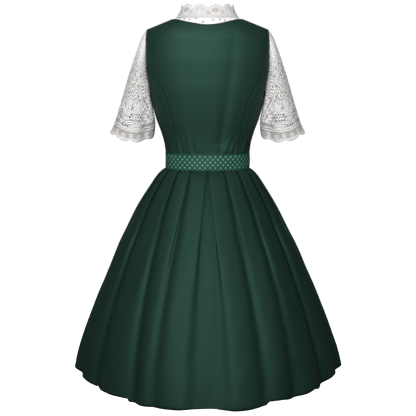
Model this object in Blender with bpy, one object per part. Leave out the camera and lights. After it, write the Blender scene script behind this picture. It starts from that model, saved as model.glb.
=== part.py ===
"""A dirndl set, filled out as if worn: dress, lace blouse, ribbon waistband and apron.

Metres, +Z up. The wearer faces -Y and their left is +X. The origin lies on the shoulders'
level, midway between the two points where the shoulder seams meet the neck.

Every piece of cloth is a thin wall. The bodice, the blouse and the ribbon share one body
surface and lie on it in layers. The skirt and the apron share one flared surface, on which
the pleats are folded. Angles go round from the centre back towards the wearer's left.
"""

import math

import bmesh
import bpy
import numpy as np
from mathutils import Vector
from mathutils.geometry import delaunay_2d_cdt

# ---------------------------------------------------------------- driving sizes (metres)
BODICE_THICKNESS = 0.0013
SKIRT_THICKNESS = 0.0012
BLOUSE_THICKNESS = 0.0010
SLEEVE_THICKNESS = 0.0011
TRIM_THICKNESS = 0.0010
RIBBON_THICKNESS = 0.0010
APRON_THICKNESS = 0.0010
SEAM_GAP = 0.0003
LAYER_GAP = 0.0004
RIBBON_LIFT = 0.0006      # the ribbon's inner face above the dress

WAIST_SEAM = -0.4443
RIBBON_BOTTOM = -0.4530
RIBBON_TOP = -0.4065
SKIRT_HEM = -1.0820
BLOUSE_HEM = -0.2750

# ------------------------------------------------------------------------- body surface
SECTION_POWER = 2.3      # 2 is an ellipse, more is squarer
PATTERN_RADIUS = 0.16    # a pattern's width coordinate is this times the angle
NECK_HALF = 0.102        # half width of the neck arch
NECK_RISE = 0.0193       # how far the arch rises between the neck points
SHOULDER_SLOPE = 0.395
SHOULDER_DOME = 0.060    # height over which the back and the front curve in to the shoulder
NECK_DOME = 0.040        # the dome is this much taller at the neck
NECK_DOME_REACH = 0.130
UPPER_LEVEL = -0.060     # above this the back runs up to the neck

# height, half width, back depth, front depth
BODY = (
    (-0.4620, 0.1284, 0.0905, 0.0960),
    (-0.4120, 0.1283, 0.0880, 0.0950),
    (-0.3800, 0.1318, 0.0890, 0.0980),
    (-0.3440, 0.1420, 0.0920, 0.1040),
    (-0.3020, 0.1574, 0.0980, 0.1120),
    (-0.2480, 0.1717, 0.1040, 0.1180),
    (-0.2000, 0.1811, 0.1070, 0.1150),
    (-0.1400, 0.1914, 0.1070, 0.1050),
    (-0.0600, 0.1927, 0.1020, 0.0930),
    (0.1000, 0.1927, 0.1020, 0.0930),
)
# the cut of the front, over each half of the chest: place, reach and fullness
CUP_SIDE = 0.078
CUP_LEVEL = -0.245
CUP_WIDTH = 0.060
CUP_HEIGHT = 0.075
CUP_FULLNESS = 0.014

# ------------------------------------------------------------- cutting lines on the body
SHOULDER_TIP = 70.0      # degrees, the shoulder seam's outer end
DRESS_NECK_SIDE = 0.1040
DRESS_NECK_BACK = 0.0832
COLLAR_SIDE = 0.0965
COLLAR_BACK = 0.0620
COLLAR_FRONT = 0.0840
BODY_SPACING = 0.031      # of the points that all layers of the body share
SLEEVE_SPACING = 0.024
TRIM_SPACING = 0.016
SLIT_HALF = 0.010         # half the blouse's neck opening at the collar
SLIT_END = -0.150
PRINCESS_TURN = 107.0     # where on the armhole the back's shaping seam begins

# turn round the armhole from the shoulder tip, angle, height
ARMHOLE = (
    (30.0, 71.4, -0.020),
    (60.0, 73.6, -0.062),
    (90.0, 75.2, -0.112),
    (120.0, 77.2, -0.160),
    (150.0, 81.8, -0.210),
    (180.0, 90.0, -0.2350),
    (210.0, 98.6, -0.210),
    (240.0, 104.2, -0.160),
    (270.0, 106.6, -0.112),
    (300.0, 108.2, -0.062),
    (330.0, 109.2, -0.020),
)
# height, angle of the back's shaping seam below the armhole
PRINCESS = (
    (-0.4443, 44.5),
    (-0.3930, 43.8),
    (-0.3530, 42.0),
    (-0.3070, 40.0),
    (-0.2610, 41.0),
    (-0.2200, 47.0),
    (-0.1840, 56.0),
    (-0.1550, 67.5),
)
# distance from the centre front, height of the dress's front neckline
FRONT_NECKLINE = (
    (0.0000, -0.1760),
    (0.0300, -0.1755),
    (0.0560, -0.1690),
    (0.0740, -0.1530),
    (0.0840, -0.1250),
    (0.0920, -0.0850),
    (0.1000, -0.0420),
)

# ------------------------------------------------------------------------------- sleeves
CUFF_CENTRE = (0.2342, 0.0, -0.3530)
CUFF_HALF_WIDTH = 0.0665
CUFF_TILT = 0.0085        # the outer side ends this much above the middle
CUFF_HALF_DEPTH = 0.0640
CUFF_DROP = 0.0185        # the back and front hang this much lower
SLEEVE_PATTERN_RADIUS = 0.064
SLEEVE_SIDE_BULGE = 0.010
SLEEVE_CLEARANCE = 0.0016  # middle of the sleeve's wall to the dress beside it
FOLD_TURN = 128.0          # the soft fold down the inner back of the sleeve
FOLD_WIDTH = 15.0
FOLD_DEPTH = 0.0075
TRIM_WIDTH = 0.0320
SCALLOP_DEPTH = 0.0055
CUFF_SCALLOPS = 8
# way down the sleeve, how far its outer side stands out
SLEEVE_BULGE = (
    (0.00, 0.0000),
    (0.10, 0.0080),
    (0.26, 0.0076),
    (0.46, 0.0053),
    (0.72, -0.0010),
    (0.91, -0.0035),
    (1.00, 0.0000),
)
# The sleeve's lace repeats round it. Each repeat is one large flower with leaves above it.
LACE_REPEATS = 6
LACE_START = 0.0726       # pattern width of the first repeat's middle
SLIT_CLEARANCE = 0.0045   # of an open slit from the edge of its piece
# the open slits of a repeat: across from its middle, run up, angle, length, width (mm)
SLITS = (
    (-15.5, 104.0, 127.0, 12.0, 5.0),
    (16.0, 104.5, 52.0, 12.0, 5.0),
    (30.0, 140.0, 96.0, 11.5, 4.6),
    (-14.0, 144.0, 48.0, 10.5, 4.6),
    (14.0, 147.0, 140.0, 9.5, 4.6),
    (-22.0, 168.0, 118.0, 11.0, 4.6),
    (21.0, 172.0, 58.0, 11.0, 4.6),
    (2.0, 176.0, 84.0, 12.0, 4.6),
    (-8.0, 200.0, 104.0, 11.0, 4.6),
    (22.0, 203.0, 122.0, 10.5, 4.6),
    (-27.0, 208.0, 62.0, 10.5, 4.6),
    (8.0, 225.0, 80.0, 10.0, 4.6),
    (-15.0, 232.0, 125.0, 10.0, 4.6),
)

# -------------------------------------------------------------------------------- collar
COLLAR_HEIGHT = 0.0400
COLLAR_SCALLOP = 0.0125
COLLAR_SCALLOPS = 10
COLLAR_OPENING = 13.0      # degrees each side of the centre front
COLLAR_PATTERN_RADIUS = 0.080
COLLAR_TOP_SIDE = 0.0785
COLLAR_TOP_BACK = 0.0480
COLLAR_TOP_FRONT = 0.0700
COLLAR_SOFTNESS = 0.55     # how soon the flared foot turns upright
COLLAR_SEAT = 0.0007       # level of the collar's foot under the dress's outer face

# --------------------------------------------------------------------------------- skirt
# height, half width, back depth, front depth, section power
SKIRT = (
    (-0.4570, 0.1368, 0.0980, 0.1030, 2.28),
    (-0.4730, 0.1537, 0.1190, 0.1240, 2.20),
    (-0.5085, 0.1775, 0.1480, 0.1520, 2.10),
    (-0.5710, 0.2155, 0.1900, 0.1890, 2.04),
    (-0.6345, 0.2480, 0.2260, 0.2200, 2.00),
    (-0.6975, 0.2804, 0.2600, 0.2510, 2.00),
    (-0.7620, 0.3080, 0.2900, 0.2780, 2.00),
    (-0.8250, 0.3355, 0.3190, 0.3050, 1.96),
    (-0.8890, 0.3610, 0.3480, 0.3320, 1.92),
    (-0.9520, 0.3840, 0.3750, 0.3570, 1.87),
    (-1.0160, 0.4055, 0.4010, 0.3800, 1.81),
    (-1.0820, 0.4215, 0.4240, 0.4000, 1.76),
)
SKIRT_LEVELS = (-0.4446, -0.4534, -0.4570, -0.4670, -0.4885, -0.5280, -0.5935, -0.6845,
                -0.7910, -0.8980, -1.0010, -1.0820)
FOLD_GAP = 0.0006          # between the layers of a pressed pleat
OPEN_POWER = 0.85          # how the pleats let go between the waist and the hem

# Pleats of each side, from the centre back: angle at the waist and at the hem, width of the
# fold under the edge at the waist, depth and width of its valley at the hem (metres)
PLEATS_LEFT = (
    (0.5, 8.5, 0.016, 0.014, 0.026),
    (19.0, 25.0, 0.013, 0.013, 0.024),
    (37.0, 34.5, 0.012, 0.016, 0.026),
    (57.5, 56.5, 0.013, 0.017, 0.028),
    (75.0, 74.0, 0.012, 0.015, 0.026),
    (93.0, 92.5, 0.012, 0.016, 0.028),
    (111.0, 111.0, 0.012, 0.015, 0.026),
    (128.0, 128.5, 0.012, 0.014, 0.026),
)
PLEATS_RIGHT = (
    (0.5, 10.0, 0.016, 0.013, 0.024),
    (18.5, 27.5, 0.013, 0.015, 0.026),
    (37.5, 40.5, 0.012, 0.014, 0.025),
    (58.0, 59.5, 0.013, 0.018, 0.030),
    (75.5, 75.5, 0.012, 0.016, 0.026),
    (93.5, 93.0, 0.012, 0.015, 0.027),
    (110.5, 111.5, 0.012, 0.016, 0.028),
    (128.0, 128.0, 0.012, 0.014, 0.026),
)
SEAM_PLEATS = (3, 7)        # the skirt's widths are joined under these pleats
FRONT_POINTS = 8            # each side of the centre front
FRONT_WAVE = 0.0100
FRONT_WAVES = 2             # each side

APRON_COLUMNS = 7           # of the front's points each side of the centre front
APRON_LEVELS = slice(2, 11)  # of the skirt's levels, from under the ribbon

# ---------------------------------------------------------------- finishes: colour, gloss
FINISHES = {
    "satin_green": ((0.022, 0.058, 0.044, 1.0), 0.48),
    "ribbon_green": ((0.045, 0.190, 0.110, 1.0), 0.50),
    "lace_white": ((0.620, 0.610, 0.605, 1.0), 0.85),
    "cotton_white": ((0.780, 0.780, 0.775, 1.0), 0.90),
    "apron_green": ((0.035, 0.120, 0.080, 1.0), 0.55),
}


class Profile:
    """Smooth curve through a table's rows: the first column is the key, the rest are values."""

    def __init__(self, rows):
        table = np.array(sorted(rows), dtype=float)
        self.keys = table[:, 0]
        self.values = table[:, 1:]
        rises = np.diff(self.values, axis=0) / np.diff(self.keys)[:, None]
        total = rises[:-1] + rises[1:]
        same_way = rises[:-1] * rises[1:] > 0
        self.slopes = np.zeros_like(self.values)
        self.slopes[1:-1] = np.where(
            same_way, 2 * rises[:-1] * rises[1:] / np.where(same_way, total, 1.0), 0.0)
        self.slopes[0] = rises[0]
        self.slopes[-1] = rises[-1]

    def at(self, key):
        key = np.clip(np.asarray(key, dtype=float), self.keys[0], self.keys[-1])
        row = np.clip(np.searchsorted(self.keys, key, side="right") - 1, 0, len(self.keys) - 2)
        step = (self.keys[row + 1] - self.keys[row])[..., None]
        way = (key - self.keys[row])[..., None] / step
        start, end = self.values[row], self.values[row + 1]
        slope_in, slope_out = self.slopes[row] * step, self.slopes[row + 1] * step
        curve = (start * (1 + 2 * way) * (1 - way) ** 2 + slope_in * way * (1 - way) ** 2
                 + end * way ** 2 * (3 - 2 * way) + slope_out * way ** 2 * (way - 1))
        return np.moveaxis(curve, -1, 0)


def signed_power(value, power):
    return np.sign(value) * np.abs(value) ** power


# ------------------------------------------------------------------------- body surface
BODY_PROFILE = Profile(BODY)
UPPER_HALF, UPPER_BACK, UPPER_FRONT = BODY_PROFILE.at(0.0)


def shoulder_height(across):
    """Height of the shoulder line at a distance from the middle."""
    reach = np.abs(across)
    arch = NECK_RISE * (1 - (reach / NECK_HALF) ** 2)
    slope = -SHOULDER_SLOPE * (reach - NECK_HALF)
    return np.where(reach < NECK_HALF, arch, slope)


def dome_height(across):
    reach = np.minimum(np.abs(across) / NECK_DOME_REACH, 1.0)
    return SHOULDER_DOME + NECK_DOME * np.cos(math.pi / 2 * reach) ** 2


def body_point(angle, height):
    """Point of the dress's outer face. Height follows the cloth where it curves to the shoulder."""
    half, back, front = BODY_PROFILE.at(height)
    across = half * signed_power(np.sin(angle), 2 / SECTION_POWER)
    depth_way = signed_power(np.cos(angle), 2 / SECTION_POWER)
    along = np.where(depth_way > 0, back, front) * depth_way
    dome = dome_height(across)
    start = shoulder_height(across) - dome
    lift = np.clip((height - start) / dome, 0, math.pi / 2)
    level = np.where(lift > 0, start + dome * np.sin(lift), height)
    cup = (np.exp(-((np.abs(across) - CUP_SIDE) / CUP_WIDTH) ** 2
                  - ((level - CUP_LEVEL) / CUP_HEIGHT) ** 2))
    along = along - CUP_FULLNESS * cup * np.clip(-depth_way, 0, 1) ** 0.5
    return np.stack([across, along * np.cos(lift), level], axis=-1)


def raised(surface, first, second, out, step=2e-4):
    """Point of a surface moved out along its normal."""
    run_first = surface(first + step, second) - surface(first - step, second)
    run_second = surface(first, second + step) - surface(first, second - step)
    normal = np.cross(run_second, run_first)
    normal /= np.linalg.norm(normal, axis=-1, keepdims=True)
    return surface(first, second) + normal * np.asarray(out)[..., None]


def on_body(width, height, out):
    return raised(body_point, width / PATTERN_RADIUS, height, out)


def seam_height(angle):
    """Height, along the cloth, of the shoulder seam at an angle."""
    across = UPPER_HALF * signed_power(np.sin(angle), 2 / SECTION_POWER)
    dome = dome_height(across)
    return shoulder_height(across) - dome + dome * math.pi / 2


def angle_across(across, height, front=False):
    """Angle of the point at a distance from the middle."""
    half = BODY_PROFILE.at(height)[0]
    angle = np.arcsin(np.clip(across / half, -1, 1) ** (SECTION_POWER / 2))
    return math.pi - angle if front else angle


def neck_oval(side, depth, turns, front=False):
    """Points of an oval neckline, seen from above, from the middle to the shoulder seam."""
    points = []
    for turn in np.radians(turns):
        across = side * math.sin(turn)
        along = depth * math.cos(turn)
        angle = float(angle_across(across, 0.0, front))
        reach = (UPPER_FRONT if front else UPPER_BACK) * abs(math.cos(angle)) ** (2 / SECTION_POWER)
        dome = float(dome_height(across))
        lift = math.acos(min(along / reach, 1.0))
        points.append((angle * PATTERN_RADIUS, float(shoulder_height(across)) - dome + dome * lift))
    return points


TIP_ANGLE = math.radians(SHOULDER_TIP)
ARMHOLE_PROFILE = Profile(
    ((0.0, SHOULDER_TIP, float(seam_height(TIP_ANGLE))),) + ARMHOLE
    + ((360.0, 180 - SHOULDER_TIP, float(seam_height(TIP_ANGLE))),))


def armhole(turns):
    """Points of the armhole in the body's pattern, by turn from the shoulder tip."""
    angle, height = ARMHOLE_PROFILE.at(np.asarray(turns, dtype=float))
    return list(zip(np.radians(angle) * PATTERN_RADIUS, height))


# ----------------------------------------------------------------------- making of walls
def finish_object(name, points, faces, finish):
    """One closed wall as an object with its finish."""
    mesh = bpy.data.meshes.new(name)
    mesh.from_pydata([tuple(p) for p in points], [], faces)
    work = bmesh.new()
    work.from_mesh(mesh)
    bmesh.ops.recalc_face_normals(work, faces=work.faces)
    work.to_mesh(mesh)
    work.free()
    mesh.shade_smooth()
    mesh.set_sharp_from_angle(angle=math.radians(50))
    mesh.materials.append(finish)
    piece = bpy.data.objects.new(name, mesh)
    bpy.context.scene.collection.objects.link(piece)
    return piece


def make_finish(name):
    colour, roughness = FINISHES[name]
    material = bpy.data.materials.new(name)
    material.use_nodes = True
    shader = material.node_tree.nodes["Principled BSDF"]
    shader.inputs["Base Color"].default_value = colour
    shader.inputs["Roughness"].default_value = roughness
    shader.inputs["Metallic"].default_value = 0.0
    return material


def divided(outline, spacing):
    """The outline with its long edges divided."""
    result = []
    for here, there in zip(outline, outline[1:] + outline[:1]):
        span = math.dist(here, there)
        parts = max(1, round(span / spacing))
        for part in range(parts):
            way = part / parts
            result.append((here[0] + (there[0] - here[0]) * way, here[1] + (there[1] - here[1]) * way))
    return result


def inside(points, outline):
    """Which points lie inside a closed outline."""
    points = np.asarray(points)
    line = np.asarray(outline)
    after = np.roll(line, -1, axis=0)
    result = np.zeros(len(points), dtype=bool)
    for (x1, y1), (x2, y2) in zip(line, after):
        crosses = (y1 > points[:, 1]) != (y2 > points[:, 1])
        rise = y2 - y1 if y2 != y1 else 1e-12
        result ^= crosses & (points[:, 0] < (x2 - x1) * (points[:, 1] - y1) / rise + x1)
    return result


def distance_to(points, outline):
    """Distance of each point from a closed outline."""
    points = np.asarray(points)
    line = np.asarray(outline)
    after = np.roll(line, -1, axis=0)
    best = np.full(len(points), np.inf)
    for start, end in zip(line, after):
        span = end - start
        way = np.clip(((points - start) @ span) / max(span @ span, 1e-18), 0, 1)
        best = np.minimum(best, np.linalg.norm(points - start - way[:, None] * span, axis=1))
    return best


def lattice(low, high, spacing):
    """Points in staggered rows over a rectangle."""
    rows = np.arange(low[1] + spacing / 2, high[1], spacing * 0.87)
    points = [(x, y) for number, y in enumerate(rows)
              for x in np.arange(low[0] + spacing * (0.25 + 0.5 * (number % 2)), high[0], spacing)]
    return np.array(points).reshape(-1, 2)


def triangulated(points, edges, tolerance=1e-7):
    """Points and triangles of a flat mesh that keeps the given edges."""
    flat, _, triangles, *_ = delaunay_2d_cdt([Vector(p) for p in points], edges, [], 0, tolerance)
    return np.array([tuple(p) for p in flat]), np.array(triangles)


def wall_from_pattern(name, finish, points, triangles, place, outer, inner):
    """A flat pattern laid on a surface as a wall from inner to outer."""
    count = len(points)
    faces = [tuple(t) for t in triangles] + [(c + count, b + count, a + count) for a, b, c in triangles]
    for a, b in border(triangles):
        faces += [(b, a, a + count), (b, a + count, b + count)]
    layers = [place(points[:, 0], points[:, 1], np.full(count, out)) for out in (outer, inner)]
    return finish_object(name, np.concatenate(layers), faces, finish)


def border(triangles):
    """The edges that only one triangle has, in that triangle's direction."""
    edges = {(t[i], t[(i + 1) % 3]) for t in triangles for i in range(3)}
    return [edge for edge in edges if edge[::-1] not in edges]


def cloth_wall(name, finish, outline, spacing, place, outer, inner, holes=()):
    """A panel cut to an outline, with holes, laid on a surface as a wall."""
    loops = [divided(outline, spacing)] + [list(hole) for hole in holes]
    grid = lattice(np.min(loops[0], axis=0), np.max(loops[0], axis=0), spacing)
    keep = inside(grid, loops[0]) & (distance_to(grid, loops[0]) > spacing * 0.45)
    for hole in loops[1:]:
        keep &= ~inside(grid, hole) & (distance_to(grid, hole) > spacing * 0.35)
    edges, start = [], 0
    for loop in loops:
        edges += [(start + i, start + (i + 1) % len(loop)) for i in range(len(loop))]
        start += len(loop)
    points, triangles = triangulated([p for loop in loops for p in loop] + list(grid[keep]), edges)
    centres = points[triangles].mean(axis=1)
    keep = inside(centres, loops[0])
    for hole in loops[1:]:
        keep &= ~inside(centres, hole)
    return wall_from_pattern(name, finish, points, triangles[keep], place, outer, inner)


def ring_wall(name, finish, outer, inner, closed=False):
    """A wall between two grids of points, each with rows down and columns round."""
    rows, columns, _ = outer.shape
    count = rows * columns
    last = columns if closed else columns - 1
    faces = []

    def corner(row, column):
        return row * columns + column % columns

    def edge_strip(a, b):
        faces.extend([(a, b, b + count), (a, b + count, a + count)])

    for row in range(rows - 1):
        for column in range(last):
            a, b = corner(row, column), corner(row, column + 1)
            c, d = corner(row + 1, column + 1), corner(row + 1, column)
            # both faces are split along the same diagonal, so that layers stay parallel
            faces.extend([(a, b, c), (a, c, d)])
            faces.extend([(c + count, b + count, a + count), (d + count, c + count, a + count)])
    for column in range(last):
        edge_strip(corner(0, column + 1), corner(0, column))
        edge_strip(corner(rows - 1, column), corner(rows - 1, column + 1))
    if not closed:
        for row in range(rows - 1):
            edge_strip(corner(row, 0), corner(row + 1, 0))
            edge_strip(corner(row + 1, columns - 1), corner(row, columns - 1))
    points = np.concatenate([outer.reshape(-1, 3), inner.reshape(-1, 3)])
    return finish_object(name, points, faces, finish)


# -------------------------------------------------------------------- bodice and blouse
PRINCESS_TOP = ARMHOLE_PROFILE.at(PRINCESS_TURN)
PRINCESS_PROFILE = Profile(PRINCESS + ((float(PRINCESS_TOP[1]), float(PRINCESS_TOP[0])),))
SIDE = math.pi / 2 * PATTERN_RADIUS
FRONT_CENTRE = math.pi * PATTERN_RADIUS


def princess_line():
    """The back's shaping seam from the waist up to the armhole."""
    heights = np.append(np.linspace(WAIST_SEAM, PRINCESS[-1][0], 11), float(PRINCESS_TOP[1]))
    angles = PRINCESS_PROFILE.at(heights)[0]
    return [(math.radians(a) * PATTERN_RADIUS, h) for a, h in zip(angles, heights)]


def shoulder_line(front):
    """The shoulder seam from the collar past the dress's neck point out to the tip."""
    starts = [float(angle_across(across, 0.0)) for across in (COLLAR_SIDE, DRESS_NECK_SIDE)]
    angles = [starts[0]] + list(np.linspace(starts[1], TIP_ANGLE, 5))
    return [((math.pi - angle if front else angle) * PATTERN_RADIUS, float(seam_height(angle)))
            for angle in angles]


def upright(width, low, high, count):
    return [(width, height) for height in np.linspace(low, high, count)]


def front_neckline():
    """The dress's neckline from the centre front up to the shoulder seam."""
    line = [(float(angle_across(max(across, 1e-9), height, True)) * PATTERN_RADIUS, height)
            for across, height in FRONT_NECKLINE]
    return [(FRONT_CENTRE, FRONT_NECKLINE[0][1])] + line[1:] + [shoulder_line(True)[1]]


def body_lines():
    """The cutting lines of the left half of the body, each from one junction to the next."""
    slit_turn = math.degrees(math.asin(SLIT_HALF / COLLAR_SIDE))
    collar_front = neck_oval(COLLAR_SIDE, COLLAR_FRONT, np.linspace(slit_turn, 90, 8), True)
    neckline_low = FRONT_NECKLINE[0][1]
    return {
        "back_low": upright(0.0, WAIST_SEAM, BLOUSE_HEM, 7),
        "back_mid": upright(0.0, BLOUSE_HEM, UPPER_LEVEL, 8) + neck_oval(
            DRESS_NECK_SIDE, DRESS_NECK_BACK, [0.0]),
        "back_top": neck_oval(DRESS_NECK_SIDE, DRESS_NECK_BACK, [0.0]) + neck_oval(
            COLLAR_SIDE, COLLAR_BACK, [0.0]),
        "waist_back": [(w, WAIST_SEAM) for w in np.linspace(0, princess_line()[0][0], 5)],
        "waist_side_back": [(w, WAIST_SEAM) for w in np.linspace(princess_line()[0][0], SIDE, 6)],
        "waist_front": [(w, WAIST_SEAM) for w in np.linspace(SIDE, FRONT_CENTRE, 11)],
        "hem": [(0.0, BLOUSE_HEM), (FRONT_CENTRE, BLOUSE_HEM)],
        "princess": princess_line(),
        "side": upright(SIDE, WAIST_SEAM, float(ARMHOLE_PROFILE.at(180.0)[1]), 8),
        "armhole_high": armhole(np.linspace(0, PRINCESS_TURN, 9)),
        "armhole_low": armhole(np.linspace(PRINCESS_TURN, 180, 7)),
        "armhole_front": armhole(np.linspace(180, 360, 14)),
        "shoulder_back": shoulder_line(False),
        "shoulder_front": shoulder_line(True),
        "dress_neck": neck_oval(DRESS_NECK_SIDE, DRESS_NECK_BACK, np.linspace(0, 90, 9)),
        "collar_back": neck_oval(COLLAR_SIDE, COLLAR_BACK, np.linspace(0, 90, 9)),
        "collar_front": collar_front,
        "slit": [(FRONT_CENTRE, SLIT_END), collar_front[0]],
        "front_low": upright(FRONT_CENTRE, WAIST_SEAM, BLOUSE_HEM, 7),
        "front_mid": upright(FRONT_CENTRE, BLOUSE_HEM, neckline_low, 4),
        "front_top": upright(FRONT_CENTRE, neckline_low, SLIT_END, 2),
        "neckline": front_neckline(),
    }


def chained(lines, names):
    """An outline from named lines; a name that starts with a minus is walked backwards."""
    outline = []
    for name in names:
        line = lines[name.lstrip("-")]
        outline += (line[::-1] if name.startswith("-") else line)[:-1]
    return outline


class BodyPattern:
    """The left half of the body as one flat mesh, so that every layer over it has its points."""

    def __init__(self):
        self.lines = body_lines()
        points, edges = [], []
        for line in self.lines.values():
            dense = line
            if len(line) == 2:
                count = round(math.dist(*line) / BODY_SPACING) + 1
                dense = [tuple(p) for p in np.linspace(line[0], line[1], max(count, 2))]
            edges += [(len(points) + i, len(points) + i + 1) for i in range(len(dense) - 1)]
            points += dense
        grid = lattice((0.0, WAIST_SEAM), (FRONT_CENTRE, 0.04), BODY_SPACING)
        free = np.full(len(grid), np.inf)
        for first, second in edges:
            free = np.minimum(free, distance_to(grid, [points[first], points[second]]))
        points += [tuple(p) for p in grid[free > BODY_SPACING * 0.5]]
        self.points, self.triangles = triangulated(points, edges, 2e-5)

    def piece(self, names, mirror_about=None):
        """Points and triangles inside an outline, doubled over a line where it is the middle."""
        outline = chained(self.lines, names)
        centres = self.points[self.triangles].mean(axis=1)
        triangles = self.triangles[inside(centres, outline)]
        used = np.unique(triangles)
        renumber = {old: new for new, old in enumerate(used)}
        triangles = [[renumber[i] for i in t] for t in triangles]
        points = [tuple(p) for p in self.points[used]]
        if mirror_about is not None:
            other = {}
            for number, (width, height) in enumerate(list(points)):
                if abs(width - mirror_about) < 1e-5:
                    other[number] = number
                else:
                    other[number] = len(points)
                    points.append((2 * mirror_about - width, height))
            triangles += [[other[c], other[b], other[a]] for a, b, c in triangles]
        return cut_inside(np.array(points), triangles)


def cut_inside(points, triangles):
    """The pattern with its border drawn in by half a seam gap."""
    shift = np.zeros_like(points)
    for first, second in border(triangles):
        run = points[second] - points[first]
        inward = np.array([-run[1], run[0]]) / np.linalg.norm(run)
        for corner in (first, second):
            shift[corner] += inward
    size = (shift ** 2).sum(axis=1, keepdims=True)
    shift = np.where(size > 0, shift * 2 / np.maximum(size, 1.0), 0.0)
    return points + shift * SEAM_GAP / 2, triangles


def on_body_right(width, height, out):
    return on_body(width, height, out) * np.array([-1.0, 1.0, 1.0])


def make_body(satin, cotton):
    """The bodice's five panels and, under them, the blouse's back and front."""
    pattern = BodyPattern()
    dress = (0.0, -BODICE_THICKNESS)
    blouse = (-BODICE_THICKNESS - LAYER_GAP, -BODICE_THICKNESS - LAYER_GAP - BLOUSE_THICKNESS)
    back = ("waist_back", "princess", "-armhole_high", "-shoulder_back_dress", "-dress_neck",
            "-back_mid", "-back_low")
    side_back = ("waist_side_back", "side", "-armhole_low", "-princess")
    front = ("waist_front", "front_low", "front_mid", "neckline", "shoulder_front_dress",
             "-armhole_front", "-side")
    blouse_back = ("hem_back", "side_high", "-armhole_low", "-armhole_high", "-shoulder_back",
                   "-collar_back", "-back_top", "-back_mid")
    blouse_front = ("hem_front", "front_mid", "front_top", "slit", "collar_front",
                    "shoulder_front", "-armhole_front", "-side_high")
    lines = pattern.lines
    lines["shoulder_back_dress"] = lines["shoulder_back"][1:]
    lines["shoulder_front_dress"] = lines["shoulder_front"][1:]
    lines["side_high"] = [(SIDE, BLOUSE_HEM), lines["side"][-1]]
    lines["hem_back"] = [(0.0, BLOUSE_HEM), (SIDE, BLOUSE_HEM)]
    lines["hem_front"] = [(SIDE, BLOUSE_HEM), (FRONT_CENTRE, BLOUSE_HEM)]

    wall_from_pattern("bodice_back", satin, *pattern.piece(back, 0.0), on_body, *dress)
    for word, place in (("left", on_body), ("right", on_body_right)):
        wall_from_pattern("bodice_side_back_" + word, satin, *pattern.piece(side_back), place, *dress)
        wall_from_pattern("bodice_front_" + word, satin, *pattern.piece(front), place, *dress)
    wall_from_pattern("blouse_back", cotton, *pattern.piece(blouse_back, 0.0), on_body, *blouse)
    wall_from_pattern("blouse_front", cotton, *pattern.piece(blouse_front, FRONT_CENTRE), on_body,
                      *blouse)


# ------------------------------------------------------------------------------- sleeves
BULGE_PROFILE = Profile(SLEEVE_BULGE)
SLEEVE_TOP_OUT = 0.0011    # the sleeve starts this far above the dress's face


def armhole_ring(turn):
    angle, height = ARMHOLE_PROFILE.at(np.degrees(turn))
    return raised(body_point, np.radians(angle), height, np.full(np.shape(turn), SLEEVE_TOP_OUT))


def cuff_ring(turn):
    centre = np.array(CUFF_CENTRE)
    return centre + np.stack([
        CUFF_HALF_WIDTH * np.cos(turn),
        CUFF_HALF_DEPTH * np.sin(turn),
        CUFF_TILT * np.cos(turn) - CUFF_DROP * np.sin(turn) ** 2], axis=-1)


def clear_of_body(points):
    """Points moved out sideways until they clear the dress beside them."""
    across, along, level = points[..., 0], points[..., 1], points[..., 2]
    half, back, front = BODY_PROFILE.at(level)
    half = half + SLEEVE_CLEARANCE
    depth = np.where(along > 0, back, front) + SLEEVE_CLEARANCE
    share = np.clip(np.abs(along) / depth, 0, 0.999)
    wall = half * (1 - share ** SECTION_POWER) ** (1 / SECTION_POWER)
    softness = 0.004
    over = (across - wall) / softness
    pushed = wall + softness * np.where(over > 20, over, np.log1p(np.exp(np.minimum(over, 20))))
    low = np.clip((-level - 0.200) / 0.040, 0, 1)
    return np.stack([across + (np.maximum(pushed, across) - across) * low, along, level], axis=-1)


def sleeve_point(turn, run):
    """Middle of the sleeve's wall: turn from its outer side to the back, run up from the cuff."""
    turn = np.mod(turn, 2 * math.pi)
    ring, cuff = armhole_ring(turn), cuff_ring(turn)
    length = np.linalg.norm(ring - cuff, axis=-1)
    way = 1 - run / length
    point = ring + (cuff - ring) * way[..., None]
    outer_share = np.clip(np.cos(turn), 0, 1) ** 2
    stand = BULGE_PROFILE.at(way)[0] * outer_share
    side = SLEEVE_SIDE_BULGE * np.sin(turn) * np.sin(math.pi * np.clip(way, 0, 1))
    offset = np.degrees(turn) - FOLD_TURN
    fold = np.exp(-(offset / FOLD_WIDTH) ** 2) * np.clip(way * 1.3 - 0.25, 0, 1)
    point = point + np.stack([stand + FOLD_DEPTH * fold * 0.4, side - FOLD_DEPTH * fold, 0 * side],
                             axis=-1)
    return clear_of_body(point)


def sleeve_length(turn):
    turn = np.mod(np.asarray(turn, dtype=float), 2 * math.pi)
    return np.linalg.norm(armhole_ring(turn) - cuff_ring(turn), axis=-1)


def on_left_sleeve(width, run, out):
    return raised(sleeve_point, width / SLEEVE_PATTERN_RADIUS, run, -out)


def on_right_sleeve(width, run, out):
    return on_left_sleeve(width, run, out) * np.array([-1.0, 1.0, 1.0])


def slit_outline(centre, angle, length, width):
    """A leaf-shaped gap as a four-sided outline."""
    turn = math.radians(angle)
    shape = ((-0.5, 0.0), (-0.05, -0.5), (0.5, 0.0), (-0.05, 0.5))
    return [(centre[0] + run * length * math.cos(turn) - side * width * math.sin(turn),
             centre[1] + run * length * math.sin(turn) + side * width * math.cos(turn))
            for run, side in shape]


def slits_in(outline):
    """The open slits that lie well inside an outline of the sleeve's pattern."""
    pitch = 2 * math.pi * SLEEVE_PATTERN_RADIUS / LACE_REPEATS
    found = []
    for repeat in range(-1, LACE_REPEATS):
        for across, up, angle, length, width in SLITS:
            centre = (LACE_START + repeat * pitch + across / 1000, up / 1000)
            hole = slit_outline(centre, angle, length / 1000, width / 1000)
            if inside(hole, outline).all() and distance_to(hole, outline).min() > SLIT_CLEARANCE:
                found.append(hole)
    return found


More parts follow.
